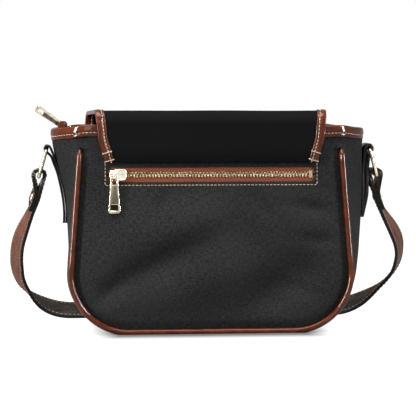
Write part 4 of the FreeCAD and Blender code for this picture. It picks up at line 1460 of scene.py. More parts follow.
@dataclass
class ZipParts:
    """Sizes of a metal zip of the No. 5 kind, and the pieces that both zips of the bag share.

    In a zip's own frame X runs along the chain, Y across it and Z outwards. A bar's three sizes are its
    width, its thickness and the radius of its edges.
    """

    finishes: Finishes
    pitch: float = 2.8 * MM
    tooth_wide: float = 1.4 * MM
    tooth_thick: float = 3.0 * MM
    tooth_root: float = 1.9 * MM
    tooth_tip: float = -0.75 * MM
    cord: float = 3.1 * MM
    cord_radius: float = 0.7 * MM
    plate_long: float = 15 * MM
    plate_wide: float = 11 * MM
    plate_low: float = 2.0 * MM
    plate_high: float = 3.6 * MM
    plate_bevel: float = 0.45 * MM
    plate_power: float = 0.42
    plate_taper: float = 0.2
    post: Triple = (2.6 * MM, 2.2 * MM, 0.6 * MM)
    post_back: float = 1.9 * MM
    post_sunk: float = 0.4 * MM
    flange: Triple = (1.3 * MM, 1.1 * MM, 0.4 * MM)
    flange_reach: Pair = (-0.30, 0.22)
    flange_in: float = 0.75 * MM
    flange_step: float = 0.9 * MM
    flange_low: float = 0.25 * MM
    bail_high: float = 9.5 * MM
    bail_wire: float = 1.4 * MM
    bail_band: float = 2.6 * MM
    bail_bend: float = 2.2 * MM
    bail_span: float = 8 * MM
    bail_shift: float = -3.6 * MM
    bail_sunk: float = 0.5 * MM
    pull_long: float = 37 * MM
    pull_wide: float = 10.8 * MM
    pull_neck: float = 6 * MM
    pull_start: float = 3.2 * MM
    pull_thick: float = 2.2 * MM
    pull_bar: float = 1.5 * MM
    pull_bends: Pair = (1.4 * MM, 1.2 * MM)
    wire_edge: float = 0.45 * MM
    end_bar: float = 3.0 * MM
    inlay_low: float = 9.0 * MM
    inlay_high: float = 25.2 * MM
    inlay_sunk: Pair = (0.5 * MM, 0.05 * MM)
    seat_margin: Pair = (1.3 * MM, 0.7 * MM)
    seat_sunk: Pair = (0.15 * MM, 0.3 * MM)
    tape_wave: Pair = (0.12 * MM, 7 * MM)
    tape_rise: float = 0.45 * MM

    def teeth(self, name: str, solid: str, place: Place, reach: Pair, side: int) -> None:
        """A row of metal teeth on its cord.

        Each tooth is a small block, waisted between its clamp and its scoop: its outline is drawn in at
        the upper and lower edges.

        Args:
            name: the piece's name.
            solid: the solid that it stands for.
            place: the zip's frame.
            reach: where the chain starts and ends.
            side: 1 for the row on +Y and -1 for the row on -Y.
        """
        start, end = reach
        phase = 0.25 if side > 0 else 0.75
        centres = np.arange(start + phase * self.pitch, end - 0.4 * self.tooth_wide, self.pitch)
        # Stations from the clamp to the tip: the distance from the chain's middle, and the half sizes.
        clamp, tip = self.cord - 0.5 * MM, self.tooth_tip
        depth = np.array([clamp, clamp - 0.3 * MM, self.tooth_root, 0.2 * MM, tip + 0.25 * MM, tip])
        half = np.array([0.8, 1.1, 1.1, 0.95, 0.85, 0.5]) * self.tooth_wide / 2
        tall = np.array([0.8, 1.0, 1.0, 0.92, 0.85, 0.55]) * self.tooth_thick / 2
        square = bar_profile(2.0, 2.0, 0.5, 3)
        across = np.broadcast_to(side * depth[:, None], (len(depth), len(square)))
        block = np.stack([half[:, None] * square[:, 0], across, tall[:, None] * square[:, 1]], axis=-1)
        batch = block[None] + centres[:, None, None, None] * X_AXIS
        path = np.linspace(start, end, 90)[:, None] * X_AXIS + side * self.cord * Y_AXIS
        cord = carried(path, Y_AXIS, UP, circle_profile(self.cord_radius, 10))
        row = [rod(place.world(batch)), rod(place.world(cord), slot=1)]
        metal_and_cord = [self.finishes.brass, self.finishes.tape]
        dressed(name, row, metal_and_cord, "bag", "gold_metal", solid)

    def slider(self, place: Place, along: bool) -> list[Patch]:
        """A slider: two shield-shaped plates, the post between them, side flanges and a bail on top.

        A plate's outline is a superellipse, x = cos^p and y = sin^p, narrower at its rear end.

        Args:
            place: the slider's frame, in the middle of the slider.
            along: the bail's arch runs along the chain instead of across it.

        Returns:
            Its metal surfaces.
        """
        circle = circle_profile(1.0, 64)
        shape = np.sign(circle) * np.abs(circle) ** self.plate_power
        narrow = 1 - self.plate_taper * (0.5 - 0.5 * shape[:, 0])
        outline = shape * np.array([self.plate_long, self.plate_wide]) / 2
        outline[:, 1] *= narrow
        levels = plate_levels(self.plate_low, self.plate_high, self.plate_bevel)
        shapes = [stacked(outline, levels), stacked(outline, levels[::-1] * np.array([-1, 1]))]
        post = bar_profile(*self.post) + np.array([self.plate_long / 2 - self.post_back, 0])
        inner = self.plate_low + self.post_sunk
        shapes.append(stacked(post, np.linspace([-inner, 0.0], [inner, 0.0], 5)))
        run = np.linspace(*self.flange_reach, 14) * self.plate_long
        inset = self.flange_in + self.flange_step * (run < -0.2 * self.plate_long)
        lip_height = self.plate_low - self.flange_low
        for side in Side:
            for level in (-1, 1):
                aside = side.value * (self.plate_wide / 2 - inset)
                lip = np.stack([run, aside, np.full(len(run), level * lip_height)], axis=1)
                shapes.append(carried(lip, Y_AXIS, UP, bar_profile(*self.flange)))
        shapes.append(self.bail(along))
        return [rod(place.world(shape)) for shape in shapes]

    def bail(self, along: bool) -> Array:
        """The arch of flat wire on a slider, along the chain or across it, in the slider's frame.

        Args:
            along: the arch runs along the chain.

        Returns:
            A grid along the wire by round it.
        """
        half = self.bail_span / 2
        top = self.bail_high - self.bail_wire / 2
        foot = self.plate_high - self.bail_sunk
        corners = np.array([[-half, foot], [-half * 0.92, top], [half * 0.92, top], [half, foot]])
        arch = rounded_path(corners, [self.bail_bend, self.bail_bend], step=0.5 * MM)
        way, width = (X_AXIS, Y_AXIS) if along else (Y_AXIS, X_AXIS)
        line = arch[:, :1] * way + arch[:, 1:] * UP
        line = line if along else line + self.bail_shift * X_AXIS
        rise = unit(np.cross(width, tangents(line)))
        return carried(line, width, rise, bar_profile(self.bail_band, self.bail_wire, self.wire_edge))

    def tapered(self, low: float, high: float, corner: float, inset: float = 0.0) -> Array:
        """Outline of a plate that fills the pull's frame between two heights, a little drawn in.

        Args:
            low: its lower end.
            high: its upper end.
            corner: radius of its corners.
            inset: how far its sides are drawn in.

        Returns:
            Points by 2.
        """
        ends = np.array([low, high])
        share = (ends + self.pull_start) / self.pull_long
        outer = self.pull_neck + (self.pull_wide - self.pull_neck) * share
        half = outer / 2 - self.pull_bar / 2 - inset
        square = bar_profile(2.0, 2.0, corner / (high - low), 3)
        rise = square[:, 1] / 2 + 0.5
        wide = square[:, 0] * (half[0] + (half[1] - half[0]) * rise)
        return np.stack([wide, low + (high - low) * rise], axis=1)

    def pull(self, place: Place) -> list[Patch]:
        """A pull: a frame of square wire that spreads from the neck, a seat for the inlay and a foot bar.

        Args:
            place: the pull's frame: Y along the pull, Z out of its face, origin on the bail.

        Returns:
            Its metal surfaces.
        """
        thick, bar = self.pull_thick, self.pull_bar
        head, free = bar / 2 - self.pull_start, self.pull_long - self.pull_start - bar / 2
        neck, wide = (self.pull_neck - bar) / 2, (self.pull_wide - bar) / 2
        corners = np.array([[0, head], [neck, head], [wide, free], [0, free]])
        half = rounded_path(corners, list(self.pull_bends), step=0.6 * MM)
        loop = np.vstack([half, half[-2:0:-1] * np.array([-1, 1])])
        path = np.concatenate([loop, np.zeros((len(loop), 1))], axis=1)
        aside = unit(np.cross(tangents(path, closed=True), UP))
        wire = carried(path, aside, UP, bar_profile(bar, thick, self.wire_edge))
        low, high = self.inlay_low - self.seat_margin[0], self.inlay_high + self.seat_margin[1]
        seat = self.tapered(low, high, corner=0.3 * MM)
        under, over = self.seat_sunk
        seat_levels = plate_levels(under - thick / 2, thick / 2 - over, bevel=0.2 * MM)
        foot = self.tapered(free + bar / 2 - self.end_bar, free, corner=0.3 * MM)
        foot_levels = plate_levels(-thick / 2, thick / 2, bevel=0.4 * MM)
        plates = [stacked(seat, seat_levels), stacked(foot, foot_levels)]
        frame_wire = Patch(place.world(wire), around=True, along=True)
        return [frame_wire] + [rod(place.world(plate)) for plate in plates]

    def inlay(self, place: Place) -> Patch:
        """The dark plate set in the face of a pull, with a soft edge."""
        outline = self.tapered(self.inlay_low, self.inlay_high, corner=0.4 * MM, inset=0.35 * MM)
        low, high = [self.pull_thick / 2 - sunk for sunk in self.inlay_sunk]
        levels = plate_levels(low, high, bevel=0.12 * MM)
        return rod(place.world(stacked(outline, levels)))

    def handle(self, name: str, solid: str, place: Place, along: bool, hung: Place) -> None:
        """A slider and its pull, as pieces on their own bodies.

        Args:
            name: what the names of the pieces start with.
            solid: what the names of their solids and bodies start with.
            place: the slider's frame.
            along: the bail's arch runs along the chain.
            hung: the pull's frame.
        """
        finishes = self.finishes
        slider, pull = solid + "_slider", solid + "_pull"
        metal = self.slider(place, along)
        dressed(name + "_slider_metal", metal, [finishes.slider_gold], slider, "gold_metal", slider)
        dressed(name + "_pull_metal", self.pull(hung), [finishes.gold], pull, "gold_metal", pull)
        plate = [self.inlay(hung)]
        dressed(name + "_pull_plate", plate, [finishes.gunmetal], pull, "dark_inlay", pull + "_inlay")

    def tape(self, place: Place, half_long: float, near: float, far: float, side: int) -> Patch:
        """Half of a zip's tape, as a flat strip beside the chain with a slow wave in it.

        Args:
            place: the zip's frame.
            half_long: half its length.
            near: distance of its inner edge from the chain's middle.
            far: distance of its outer edge.
            side: 1 for the half on +Y and -1 for the half on -Y.

        Returns:
            The strip's outer face.
        """
        run = np.linspace(-half_long, half_long, 120)
        x, y = np.meshgrid(run, side * np.linspace(near, far, 12), indexing="ij")
        high, long = self.tape_wave
        z = high * np.sin(x / long) * (np.abs(y) - near) / (far - near)
        grid = np.stack([x, y, z + self.tape_rise], axis=-1)
        return Patch(place.world(grid), inside=tuple(place.world(-UP)), uv=np.stack([x, y], axis=-1))


@dataclass
class PocketZip:
    """The zip of the back pocket, its pouch, its slider and its pull."""

    pattern: Pattern
    parts: ZipParts
    finishes: Finishes
    depth: float = 2.15 * MM
    chain: Pair = (-89.2 * MM, 89 * MM)
    tape_half: float = 101.5 * MM
    tape_near: float = 0.6 * MM
    tape_reach: float = 13.5 * MM
    tape_thick: float = 0.9 * MM
    slider_at: float = -85 * MM
    pull_drop: float = -1.2 * MM
    pull_rise: float = 5.85 * MM
    pouch_half: float = 100 * MM
    pouch_tall: float = 118 * MM
    pouch_top: float = 157.7 * MM
    pouch_front: float = 2.7 * MM
    pouch_back: float = 12.2 * MM
    pouch_slack: float = 4.2 * MM
    pouch_corner: float = 10 * MM
    pouch_thick: float = 0.4 * MM
    pouch_inside: Pair = (7 * MM, 50 * MM)
    mouth_margin: float = 1 * MM
    mouth_tall: float = 12 * MM
    mouth_corner: float = 2 * MM

    def place(self) -> Place:
        """The zip's frame, behind the window of the back panel."""
        turn = turn_about(X_AXIS, 90)
        return self.pattern.place(Face.BACK).within((0.0, self.depth, self.pattern.window_height), turn)

    def tapes(self) -> None:
        """Both halves of the tape with their teeth, and the metal stop at the right end."""
        place = self.place()
        for side, name in ((1, "upper"), (-1, "lower")):
            tape = self.parts.tape(place, self.tape_half, self.tape_near, self.tape_reach, side)
            dressed("pocket_tape_" + name, [tape], [self.finishes.tape], "bag", "zip_tape",
                    "pocket_zip_tape_" + name, thick=self.tape_thick)
            solid = "pocket_zip_teeth_" + name
            self.parts.teeth("pocket_teeth_" + name, solid, place, self.chain, side)
        frame_dress("pocket_zip_stop", self.finishes.gold)

    def pouch(self) -> None:
        """The pocket's bag: a front wall with a mouth behind the zip, a foot and sides, and a back wall.

        Its rings go from the mouth out to the outline, and from there in to the middle of the back wall.
        """
        panel = self.pattern.place(Face.BACK)
        foot = self.pouch_top - self.pouch_tall
        centre = np.array([0.0, foot + self.pouch_tall / 2])
        outline = bar_profile(2 * self.pouch_half, self.pouch_tall, self.pouch_corner, 12)
        outline = resampled(outline + centre, step=2.5 * MM, closed=True)
        size = np.array([self.pattern.window_long - self.mouth_margin, self.mouth_tall])
        mouth = slot_outline(outline, self.pattern.window_height, size, self.mouth_corner)
        share = np.linspace(0, 1, 24)[:, None, None]
        front = mouth[None] + (outline - mouth)[None] * share
        back = outline[None] + (centre - outline)[None] * (share[1:] * 0.985)
        front_depth = self.pouch_front + self.pouch_slack * smooth_step(share[:, 0, 0], 0.1, 0.5)
        depths = np.concatenate([front_depth, np.full(len(back), self.pouch_back)])
        flat = np.concatenate([front, back])
        depths = np.broadcast_to(depths[:, None], flat.shape[:2])
        local = np.stack([flat[..., 0], depths, flat[..., 1]], axis=-1)
        depth, above = self.pouch_inside
        inside = tuple(panel.world(np.array([0.0, depth, foot + above])))
        patch = Patch(panel.world(local), around=True, inside=inside)
        cloth = [self.finishes.lining]
        dressed("pocket_pouch_cloth", [patch], cloth, "bag", "lining_cloth", "pocket_pouch",
                thick=self.pouch_thick)

    def handle(self) -> None:
        """The slider and its hanging pull."""
        place = self.place().within((self.slider_at, 0.0, 0.0))
        at_bail = (self.parts.bail_shift, self.pull_drop, self.pull_rise)
        self.parts.handle("pocket", "pocket", place, False, place.within(at_bail, turn_about(UP, 180)))

    def build(self) -> None:
        """Makes the pocket from the inside out."""
        self.pouch()
        self.tapes()
        self.handle()


@dataclass
class TopZip:
    """The zip across the mouth of the bag: its two strips, chain, end tabs, slider and pull."""

    pattern: Pattern
    parts: ZipParts
    finishes: Finishes
    height: float = 179.4 * MM
    chain: Pair = (-135.2 * MM, 135.03 * MM)
    slider_at: float = -131.027 * MM
    pull_rise: float = 5.85 * MM
    pull_lean: float = 35.0
    pull_roll: float = 32.0
    strip_thick: float = 1.2 * MM
    strip_sink: float = 4 * MM
    strip_near: float = 2.6 * MM
    strip_sag: float = 0.8 * MM
    end_at: float = 140.2 * MM
    end_bar: Triple = (4.4 * MM, 5.6 * MM, 0.8 * MM)
    end_heights: Pair = (178.9 * MM, 183.3 * MM)
    end_bevel: float = 0.6 * MM
    roll_at: Triple = (-134.6 * MM, -9.5 * MM, 187.6 * MM)
    roll_bar: Triple = (9 * MM, 10 * MM, 3.4 * MM)
    roll_half: float = 1.3 * MM
    roll_turn: float = -14.0

    def strips(self) -> None:
        """The strips of cloth between each wall's rim and the chain, sagging a little, and their teeth.

        A strip's rows go from the chain to the wall, and each is as wide as the gap between the gussets.
        """
        place = Place((0.0, 0.0, self.height))
        fabric = self.pattern.fabric
        right = self.pattern.wall(self.strip_sink)[:, -1]
        share = np.linspace(0, 1, 30)[:, None]
        for face in Face:
            side, name = face.value, face.name.lower()
            wall = through_three(right, share[:, 0] * side) - fabric * X_AXIS
            depth = np.abs(wall[:, 1])
            y = self.strip_near + (depth[-1] - fabric - self.strip_near) * share
            x = np.interp(y, depth, wall[:, 0]) * np.linspace(-1, 1, 121)[None, :]
            rise = np.interp(y, depth, wall[:, 2]) - self.height
            sag = self.strip_sag * np.sin(math.pi * share)
            z = self.height + rise * smooth_step(share, 0.0, 1.0) - sag
            grid = np.stack([x, side * np.broadcast_to(y, x.shape), np.broadcast_to(z, x.shape)], axis=-1)
            patch = Patch(grid, inside=(0, 0, 0), uv=grid[..., :2])
            dressed("top_strip_" + name, [patch], [self.finishes.canvas], "bag", "canvas",
                    "main_zip_strip_" + name, thick=self.strip_thick)
            self.parts.teeth("top_teeth_" + name, "main_zip_teeth_" + name, place, self.chain, side)

    def end_tabs(self) -> None:
        """The leather ends of the chain, and at the left the rolled end of the tape, above the rim."""
        levels = plate_levels(*self.end_heights, self.end_bevel)
        block = bar_profile(*self.end_bar)
        tabs = [rod(stacked(block + np.array([side.value * self.end_at, 0.0]), levels)) for side in Side]
        roll = resampled(bar_profile(*self.roll_bar, 8), step=0.5 * MM, closed=True)
        levels = plate_levels(-self.roll_half, self.roll_half, self.end_bevel)
        upright = Place(self.roll_at, turn_about(UP, self.roll_turn) @ turn_about(X_AXIS, 90))
        tabs.append(rod(upright.world(stacked(roll, levels))))
        dressed("top_zip_ends", tabs, [self.finishes.tan], "bag", "tan_leather", "main_zip_end_tabs")

    def handle(self) -> None:
        """The slider and the pull that rests on the rim."""
        place = Place((self.slider_at, 0.0, self.height))
        turn = turn_about(Y_AXIS, self.pull_lean) @ turn_about((1, -1, 0), 180)
        turn = turn @ turn_about(Y_AXIS, self.pull_roll)
        self.parts.handle("top", "main", place, True, place.within((0.0, 0.0, self.pull_rise), turn))

    def build(self) -> None:
        """Makes the top zip."""
        self.strips()
        self.end_tabs()
        self.handle()


# Flap


@dataclass
class Flap:
    """The flap in one sheet: sewn to the back, over the mouth and down the front, with a leather edge.
    """

    pattern: Pattern
    finishes: Finishes
    cloth: float = 2.2 * MM
    stand_off: float = 4.7 * MM
    seam_off: float = 2.9 * MM
    seam_height: float = 155 * MM
    free_height: float = 163 * MM
    free_bend: float = 25 * MM
    fold_height: float = 176 * MM
    top_back: float = 202.6 * MM
    top_front: float = 200.2 * MM
    bend: float = 12.4 * MM
    front_ease: float = 4 * MM
    foot: float = 52 * MM
    corner: float = 58 * MM
    foot_half: float = 58.5 * MM
    tail_half: float = 96 * MM
    fold_half: float = 102 * MM
    bridge_half: float = 112 * MM
    crown: float = 1.2 * MM
    crown_depths: Pair = (20 * MM, 44 * MM)
    crown_drops: Pair = (10 * MM, 70 * MM)
    ripple_high: float = 0.25 * MM
    ripple_long: float = 120 * MM
    ripple_start: Pair = (10 * MM, 40 * MM)
    band: float = 7.6 * MM
    leather: float = 0.8 * MM
    puff: float = 0.4 * MM
    seam: float = 5.0 * MM
    edge_step: float = 1.5 * MM
    sewing: Sewing = Sewing(3.3 * MM, 2.3 * MM, 0.34 * MM)
    thread_proud: float = 0.12 * MM
    bars_at: Pair = (2.7 * MM, 9.0 * MM)
    bar_margin: Pair = (0.2 * MM, 0.4 * MM)
    bar_sewing: Sewing = Sewing(2.4 * MM, 2.5 * MM, 0.42 * MM)
    bar_proud: float = 0.3 * MM
    bend_start: float = -40 * MM
    bend_end: float = 30 * MM
    inside: Triple = (0.0, 0.0, 120 * MM)

    def middle_line(self) -> tuple[Array, Array, Array]:
        """The flap's outer line in the YZ plane, its half width and its outward direction.

        The line is broken at the seam, above both rims and at the foot, and rounded there. The half width
        goes straight from seam to fold to front, and follows a circle at the lower corners.

        Returns:
            Points by 3 with X at 0, half widths, and unit vectors.
        """
        back, front = self.pattern.place(Face.BACK), self.pattern.place(Face.FRONT)
        slope = math.tan(math.radians(self.pattern.tilt))
        lean_back = back.world(np.array([0.0, -self.stand_off, self.seam_height]))
        lean_front = front.world(np.array([0.0, -self.stand_off, self.seam_height]))
        head_back = lean_back[1] + (self.top_back - lean_back[2]) * slope
        head_front = lean_front[1] - (self.top_front - lean_front[2]) * slope
        corners = np.array([
            back.world(np.array([0.0, -self.seam_off, self.seam_height]))[1:],
            back.world(np.array([0.0, -self.stand_off, self.free_height]))[1:],
            [head_back, self.top_back],
            [head_front, self.top_front],
            front.world(np.array([0.0, -self.stand_off, self.foot + self.corner]))[1:],
        ])
        upper = rounded_path(corners, [self.free_bend, self.bend, self.bend], step=1.6 * MM)
        sweep = np.linspace(0, math.pi / 2, 40)[1:]
        level = self.foot + self.corner * (1 - np.sin(sweep))
        fall = level[:, None] * UP - self.stand_off * Y_AXIS
        line = np.vstack([upper, front.world(fall)[:, 1:]])
        line = np.column_stack([np.zeros(len(line)), line])
        run = lengths_along(upper)
        fold = np.argmin(np.abs(upper[:, 1] - self.fold_height) + (upper[:, 0] > 0))
        over_front = np.argmax(upper[:, 0] > head_front - self.front_ease)
        widths = [self.tail_half, self.fold_half, self.bridge_half, self.foot_half + self.corner]
        half = np.interp(run, run[[0, fold, over_front, -1]], widths)
        half = np.concatenate([half, self.foot_half + self.corner * np.cos(sweep)])
        out = unit(np.cross(X_AXIS, tangents(line)))
        return line, half, out * np.sign(-out[0, 1])

    def sheet(self) -> None:
        """The cloth of the flap, with slow ripples and a low crown in the middle of its fall."""
        line, half, out = self.middle_line()
        across = np.linspace(-1, 1, 141)
        run = lengths_along(line)
        x = half[:, None] * across
        along = np.broadcast_to(run[:, None], x.shape)
        on_front = smooth_step(line[:, 1], *self.crown_depths)[:, None]
        level = smooth_step(self.top_front - line[:, 2], *self.crown_drops)[:, None]
        swell = self.crown * on_front * level * (1 - across ** 2)
        free = smooth_step(run, *self.ripple_start)[:, None]
        uneven = self.ripple_high * ripple(x, along, self.ripple_long) * free
        height = (swell + uneven) * (1 - np.abs(across) ** 6)
        grid = line[:, None] + x[..., None] * X_AXIS + height[..., None] * out[:, None]
        patch = Patch(grid, inside=self.inside, uv=np.stack([x, along], axis=-1))
        piece = make_piece("flap_cloth", [patch], [self.finishes.flap_cloth])
        thicken(piece, self.cloth)
        self.bent(piece, "canvas", "flap_tail", "flap_bridge", "flap_front")

    def edge(self) -> tuple[Array, Array, Array]:
        """The sheet's edge from the right end of the seam, round the foot, to the left end.

        Returns:
            The edge, the direction inwards on the sheet, and the direction outwards from the sheet.
        """
        line, half, out = self.middle_line()
        right = np.hstack([line + half[:, None] * X_AXIS, out])
        left = right[::-1] * np.array([*MIRROR, 1, 1, 1])
        foot = np.linspace(right[-1], left[0], 61)[1:-1]
        whole = resampled(np.vstack([right, foot, left]), self.edge_step)
        path, facing = whole[:, :3], unit(whole[:, 3:])
        inward = unit(np.cross(facing, tangents(path)))
        return path, inward * np.sign(-inward[0, 0]), facing

    def binding(self) -> None:
        """The leather edge with its stitches, and two bars of stitches across each end."""
        path, inward, facing = self.edge()
        profile = folded_profile(self.band, self.cloth, self.leather, self.seam, self.puff)
        fold = rod(carried(path, inward, facing, profile))
        piece = make_piece("flap_binding_leather", [fold], [self.finishes.tan])
        self.bent(piece, "tan_leather", "flap_tail_binding", "flap_bridge_binding", "flap_front_binding")
        proud = self.leather + self.thread_proud
        seam = path + self.seam * inward
        rows = [stitches(seam + proud * facing, facing, self.sewing),
                stitches(seam - (self.cloth + proud) * facing, -facing, self.sewing)]
        depth = np.linspace(self.bar_margin[0], self.band - self.bar_margin[1], 12)[:, None]
        lift = self.leather + self.bar_proud
        for start in self.bars_at:
            number = int(start / self.edge_step)
            for place in (number, len(path) - 1 - number):
                bar = path[place] + depth * inward[place] + lift * facing[place]
                rows.append(stitches(bar, facing[place], self.bar_sewing))
        self.bent(make_piece("flap_stitching", rows, [self.finishes.thread]), "tan_leather")

    def bent(self, piece: bpy.types.Object, slot: str, *stands_for: str) -> None:
        """Args:
            piece: the piece.
            slot: the record's material slot.
            stands_for: the solids that it replaces.
        """
        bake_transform(piece)
        declare(piece, slot, *stands_for)

    def build(self) -> None:
        """Makes the flap and gives both magnets their finish."""
        self.sheet()
        self.binding()
        for name in ("body_magnet", "flap_magnet"):
            frame_dress(name, self.finishes.steel)


# Strap


@dataclass(frozen=True)
class TabFit:
    """How a tab sits on its end of the bag.

    thick: thickness of its leather.
    low: height of its tip.
    stand: how far its outer layer stands out.
    taper: how much of that is lost towards the tip.
    """

    thick: float
    low: float
    stand: float
    taper: float


TAB_FITS = {
    Side.LEFT: TabFit(2.1 * MM, 98 * MM, 0.2 * MM, 0.0),
    Side.RIGHT: TabFit(2.9 * MM, 102 * MM, 1.0 * MM, 0.85),
}


@dataclass
class Carrier:
    """The strap, its rings and the leather tabs that hold the rings to the ends of the bag.

    Points of the strap's own plane are X and the height over the rings' upper bars, up the plane.
    A drop is a length down that plane.
    """

    pattern: Pattern
    finishes: Finishes
    hinge: float = 167 * MM
    carry_tilt: float = 27.0
    bar_x: float = 149.36 * MM
    wire: float = 1.75 * MM
    ring_low: Pair = (156.09 * MM, -25.11 * MM)
    ring_half: float = 12.8 * MM
    ring_corner: float = 3.2 * MM
    tab_half: float = 11 * MM
    tab_gap: float = -0.2 * MM
    tab_neck: float = 7 * MM
    tab_close: float = 26 * MM
    tab_slack: float = 0.25 * MM
    tab_apart: float = 0.02 * MM
    tab_off_wall: Pair = (24 * MM, 8 * MM)
    tab_bend: Pair = (36 * MM, 4 * MM)
    loop_turn: Pair = (0.98 * math.pi, -0.22 * math.pi)
    wide: float = 25 * MM
    ply: float = 1.5 * MM
    ply_edge: float = 0.5 * MM
    seam: float = 2.6 * MM
    sewing: Sewing = Sewing(4.2 * MM, 3.1 * MM, 0.42 * MM)
    thread_proud: float = 0.08 * MM
    unsewn: float = 4 * MM
    upright: float = 14 * MM
    stretch: float = 2.5 * MM
    upright_drops: Quad = (0.0, 45 * MM, 60 * MM, 140 * MM)
    twist: float = 28.0
    twist_drops: Quad = (55 * MM, 135 * MM, 150 * MM, 179 * MM)
    bow_right: float = 12 * MM
    bow_drops: Quad = (45 * MM, 115 * MM, 122 * MM, 179 * MM)
    rivet_head: float = 3.6 * MM
    rivet_dome: float = 1.3 * MM
    rivet_down: float = 9 * MM
    rivet_shank: float = 0.4
    tail_gap: float = 0.3 * MM
    tail_long: float = 17 * MM
    join: Pair = (156.088 * MM, -41.114 * MM)
    down: Pair = (0.3405, -0.9402)
    over_ring: tuple[Pair, ...] = ((162.59 * MM, -21.56 * MM), (149.59 * MM, -21.56 * MM))
    outer_side: tuple[Pair, ...] = ((178.5 * MM, -103 * MM), (178.5 * MM, -179.56 * MM))
    bends: tuple[float, ...] = (10 * MM, 4 * MM, 4 * MM, 20 * MM, 100 * MM, 52 * MM)

    def hung(self, drop: Array) -> Array:
        """Depth and height of the strap at a drop below the rings' bars.

        The rings hang almost upright; below them the strap leans back until it meets its plane again.

        Args:
            drop: lengths down the plane.

        Returns:
            One more axis of 2: Y and Z.
        """
        tilt = math.radians(self.carry_tilt)
        upright = hump(drop, *self.upright_drops)
        y = drop * math.sin(tilt) - self.upright * upright
        z = self.hinge - drop * math.cos(tilt) - self.stretch * upright
        return np.stack([y, z], axis=-1)

    def in_space(self, line: Array) -> tuple[Array, Array]:
        """A line of the strap's plane hung in space, and the direction across the strap at each point.

        Args:
            line: points by 2.

        Returns:
            Points by 3, and a unit vector for each.
        """
        places = self.hung(-line[:, 1])
        step = 0.5 * MM
        slope = unit(self.hung(-line[:, 1] + step) - self.hung(-line[:, 1] - step))
        across = np.stack([np.zeros(len(line)), -slope[:, 1], slope[:, 0]], axis=1)
        return np.column_stack([line[:, 0], places]), across

    def ring(self, side: Side) -> None:
        """A rectangular ring of round wire between the tab and the strap's end.

        Args:
            side: which end of the bag.
        """
        ends = self.in_space(np.array([[self.bar_x, 0.0], self.ring_low]))[0]
        fall = unit(ends[1] - ends[0])
        long = np.linalg.norm(ends[1] - ends[0])
        across = unit(np.cross(fall, np.cross(Y_AXIS, fall)))
        outline = bar_profile(2 * (self.ring_half + self.ring_corner), long, self.ring_corner, 9)
        outline = resampled(outline, step=0.9 * MM, closed=True)
        mirror = np.array([side.value, 1, 1])
        path = (ends.mean(axis=0) + outline[:, :1] * across - outline[:, 1:] * fall) * mirror
        normal = unit(np.cross(across, fall)) * mirror
        aside = unit(np.cross(tangents(path, closed=True), normal))
        grid = carried(path, aside, normal, circle_profile(self.wire, 14))
        name = "ring_" + side.name.lower()
        wire = Patch(grid, around=True, along=True)
        dressed(name + "_wire", [wire], [self.finishes.gold], name, "gold_metal", name)

    def tab_line(self, fit: TabFit) -> Array:
        """The tab's middle line in the XZ plane, as at the right end of the bag.

        It climbs the gusset from its round tip, turns over the ring's upper bar and comes back down on
        its own outer face.

        Args:
            fit: how the tab sits.

        Returns:
            Points by 2: X and Z.
        """
        top = self.hinge - self.tab_neck
        first = self.tab_gap + fit.thick / 2
        second = first + fit.thick + self.tab_apart
        foot, neck = self.pattern.gusset_half(fit.low), self.pattern.gusset_half(top)
        reach = self.wire + fit.thick / 2 + self.tab_slack
        sweep = np.linspace(*self.loop_turn, 26)
        loop = np.stack([np.cos(sweep), np.sin(sweep)], axis=1)
        loop = np.array([self.bar_x, self.hinge]) + reach * loop
        inner = np.array([[foot + first, fit.low], [neck + first, top]])
        height = np.linspace(top, fit.low, 24)
        free = 1 - fit.taper * (1 - smooth_step(height, fit.low, fit.low + self.tab_close))
        wall = np.interp(height, [fit.low, top], [foot, neck])
        outer = np.stack([wall + first + (second - first + fit.stand) * free, height], axis=1)
        line = np.vstack([inner, loop, outer])
        return softened(resampled(line, step=0.8 * MM), points=4, closed=False)

    def round_of_wall(self, y: Array, z: Array) -> Array:
        """How far the gusset falls away beside its middle, as the parabola through its three sections."""
        pattern = self.pattern
        return (pattern.gusset_half(z) - pattern.panel_half(z)) * (y / pattern.seam_depth(z)) ** 2

    def tab(self, side: Side) -> None:
        """A tab of black leather, doubled over the ring's bar, with a round lower tip.

        The face inside its fold is brown.

        Args:
            side: which end of the bag.
        """
        fit = TAB_FITS[side]
        line = self.tab_line(fit)
        near = np.minimum(lengths_along(line), lengths_along(line[::-1])[::-1])
        tip = np.clip(near / self.tab_half, 0.0, 1.0)
        half = self.tab_half * np.sqrt(np.maximum(1 - (1 - tip) ** 2, 0.002))
        path = line[:, :1] * side.value * X_AXIS + line[:, 1:] * UP
        rise = unit(np.cross(Y_AXIS, tangents(path)))
        flat = bar_profile(2.0, fit.thick, fit.thick * 0.3, 3)
        on_face = np.isclose(side.value * flat[:, 1], fit.thick / 2)
        flesh = (on_face & np.roll(on_face, -1)).astype(int)
        profiles = np.broadcast_to(flat, (len(path), *flat.shape)).copy()
        hand = np.sign(flat[:, 0])
        profiles[..., 0] = hand * half[:, None] - hand * (1.0 - np.abs(flat[:, 0]))
        grid = carried(path, Y_AXIS, rise, profiles)
        low, high = [self.hinge - drop for drop in self.tab_off_wall]
        on_wall = 1 - smooth_step(grid[..., 2], low, high)
        grid[..., 0] -= side.value * on_wall * self.round_of_wall(grid[..., 1], grid[..., 2])
        grid[..., 0] += side.value * self.pattern.set_of_side(grid)
        name = side.name.lower()
        leathers = [self.finishes.black, self.finishes.strap_tan]
        piece = make_piece("tab_" + name + "_leather", [rod(grid, slot=flesh)], leathers)
        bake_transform(piece)
        declare(piece, "black_leather", "side_tab_" + name, "side_tab_loop_" + name)

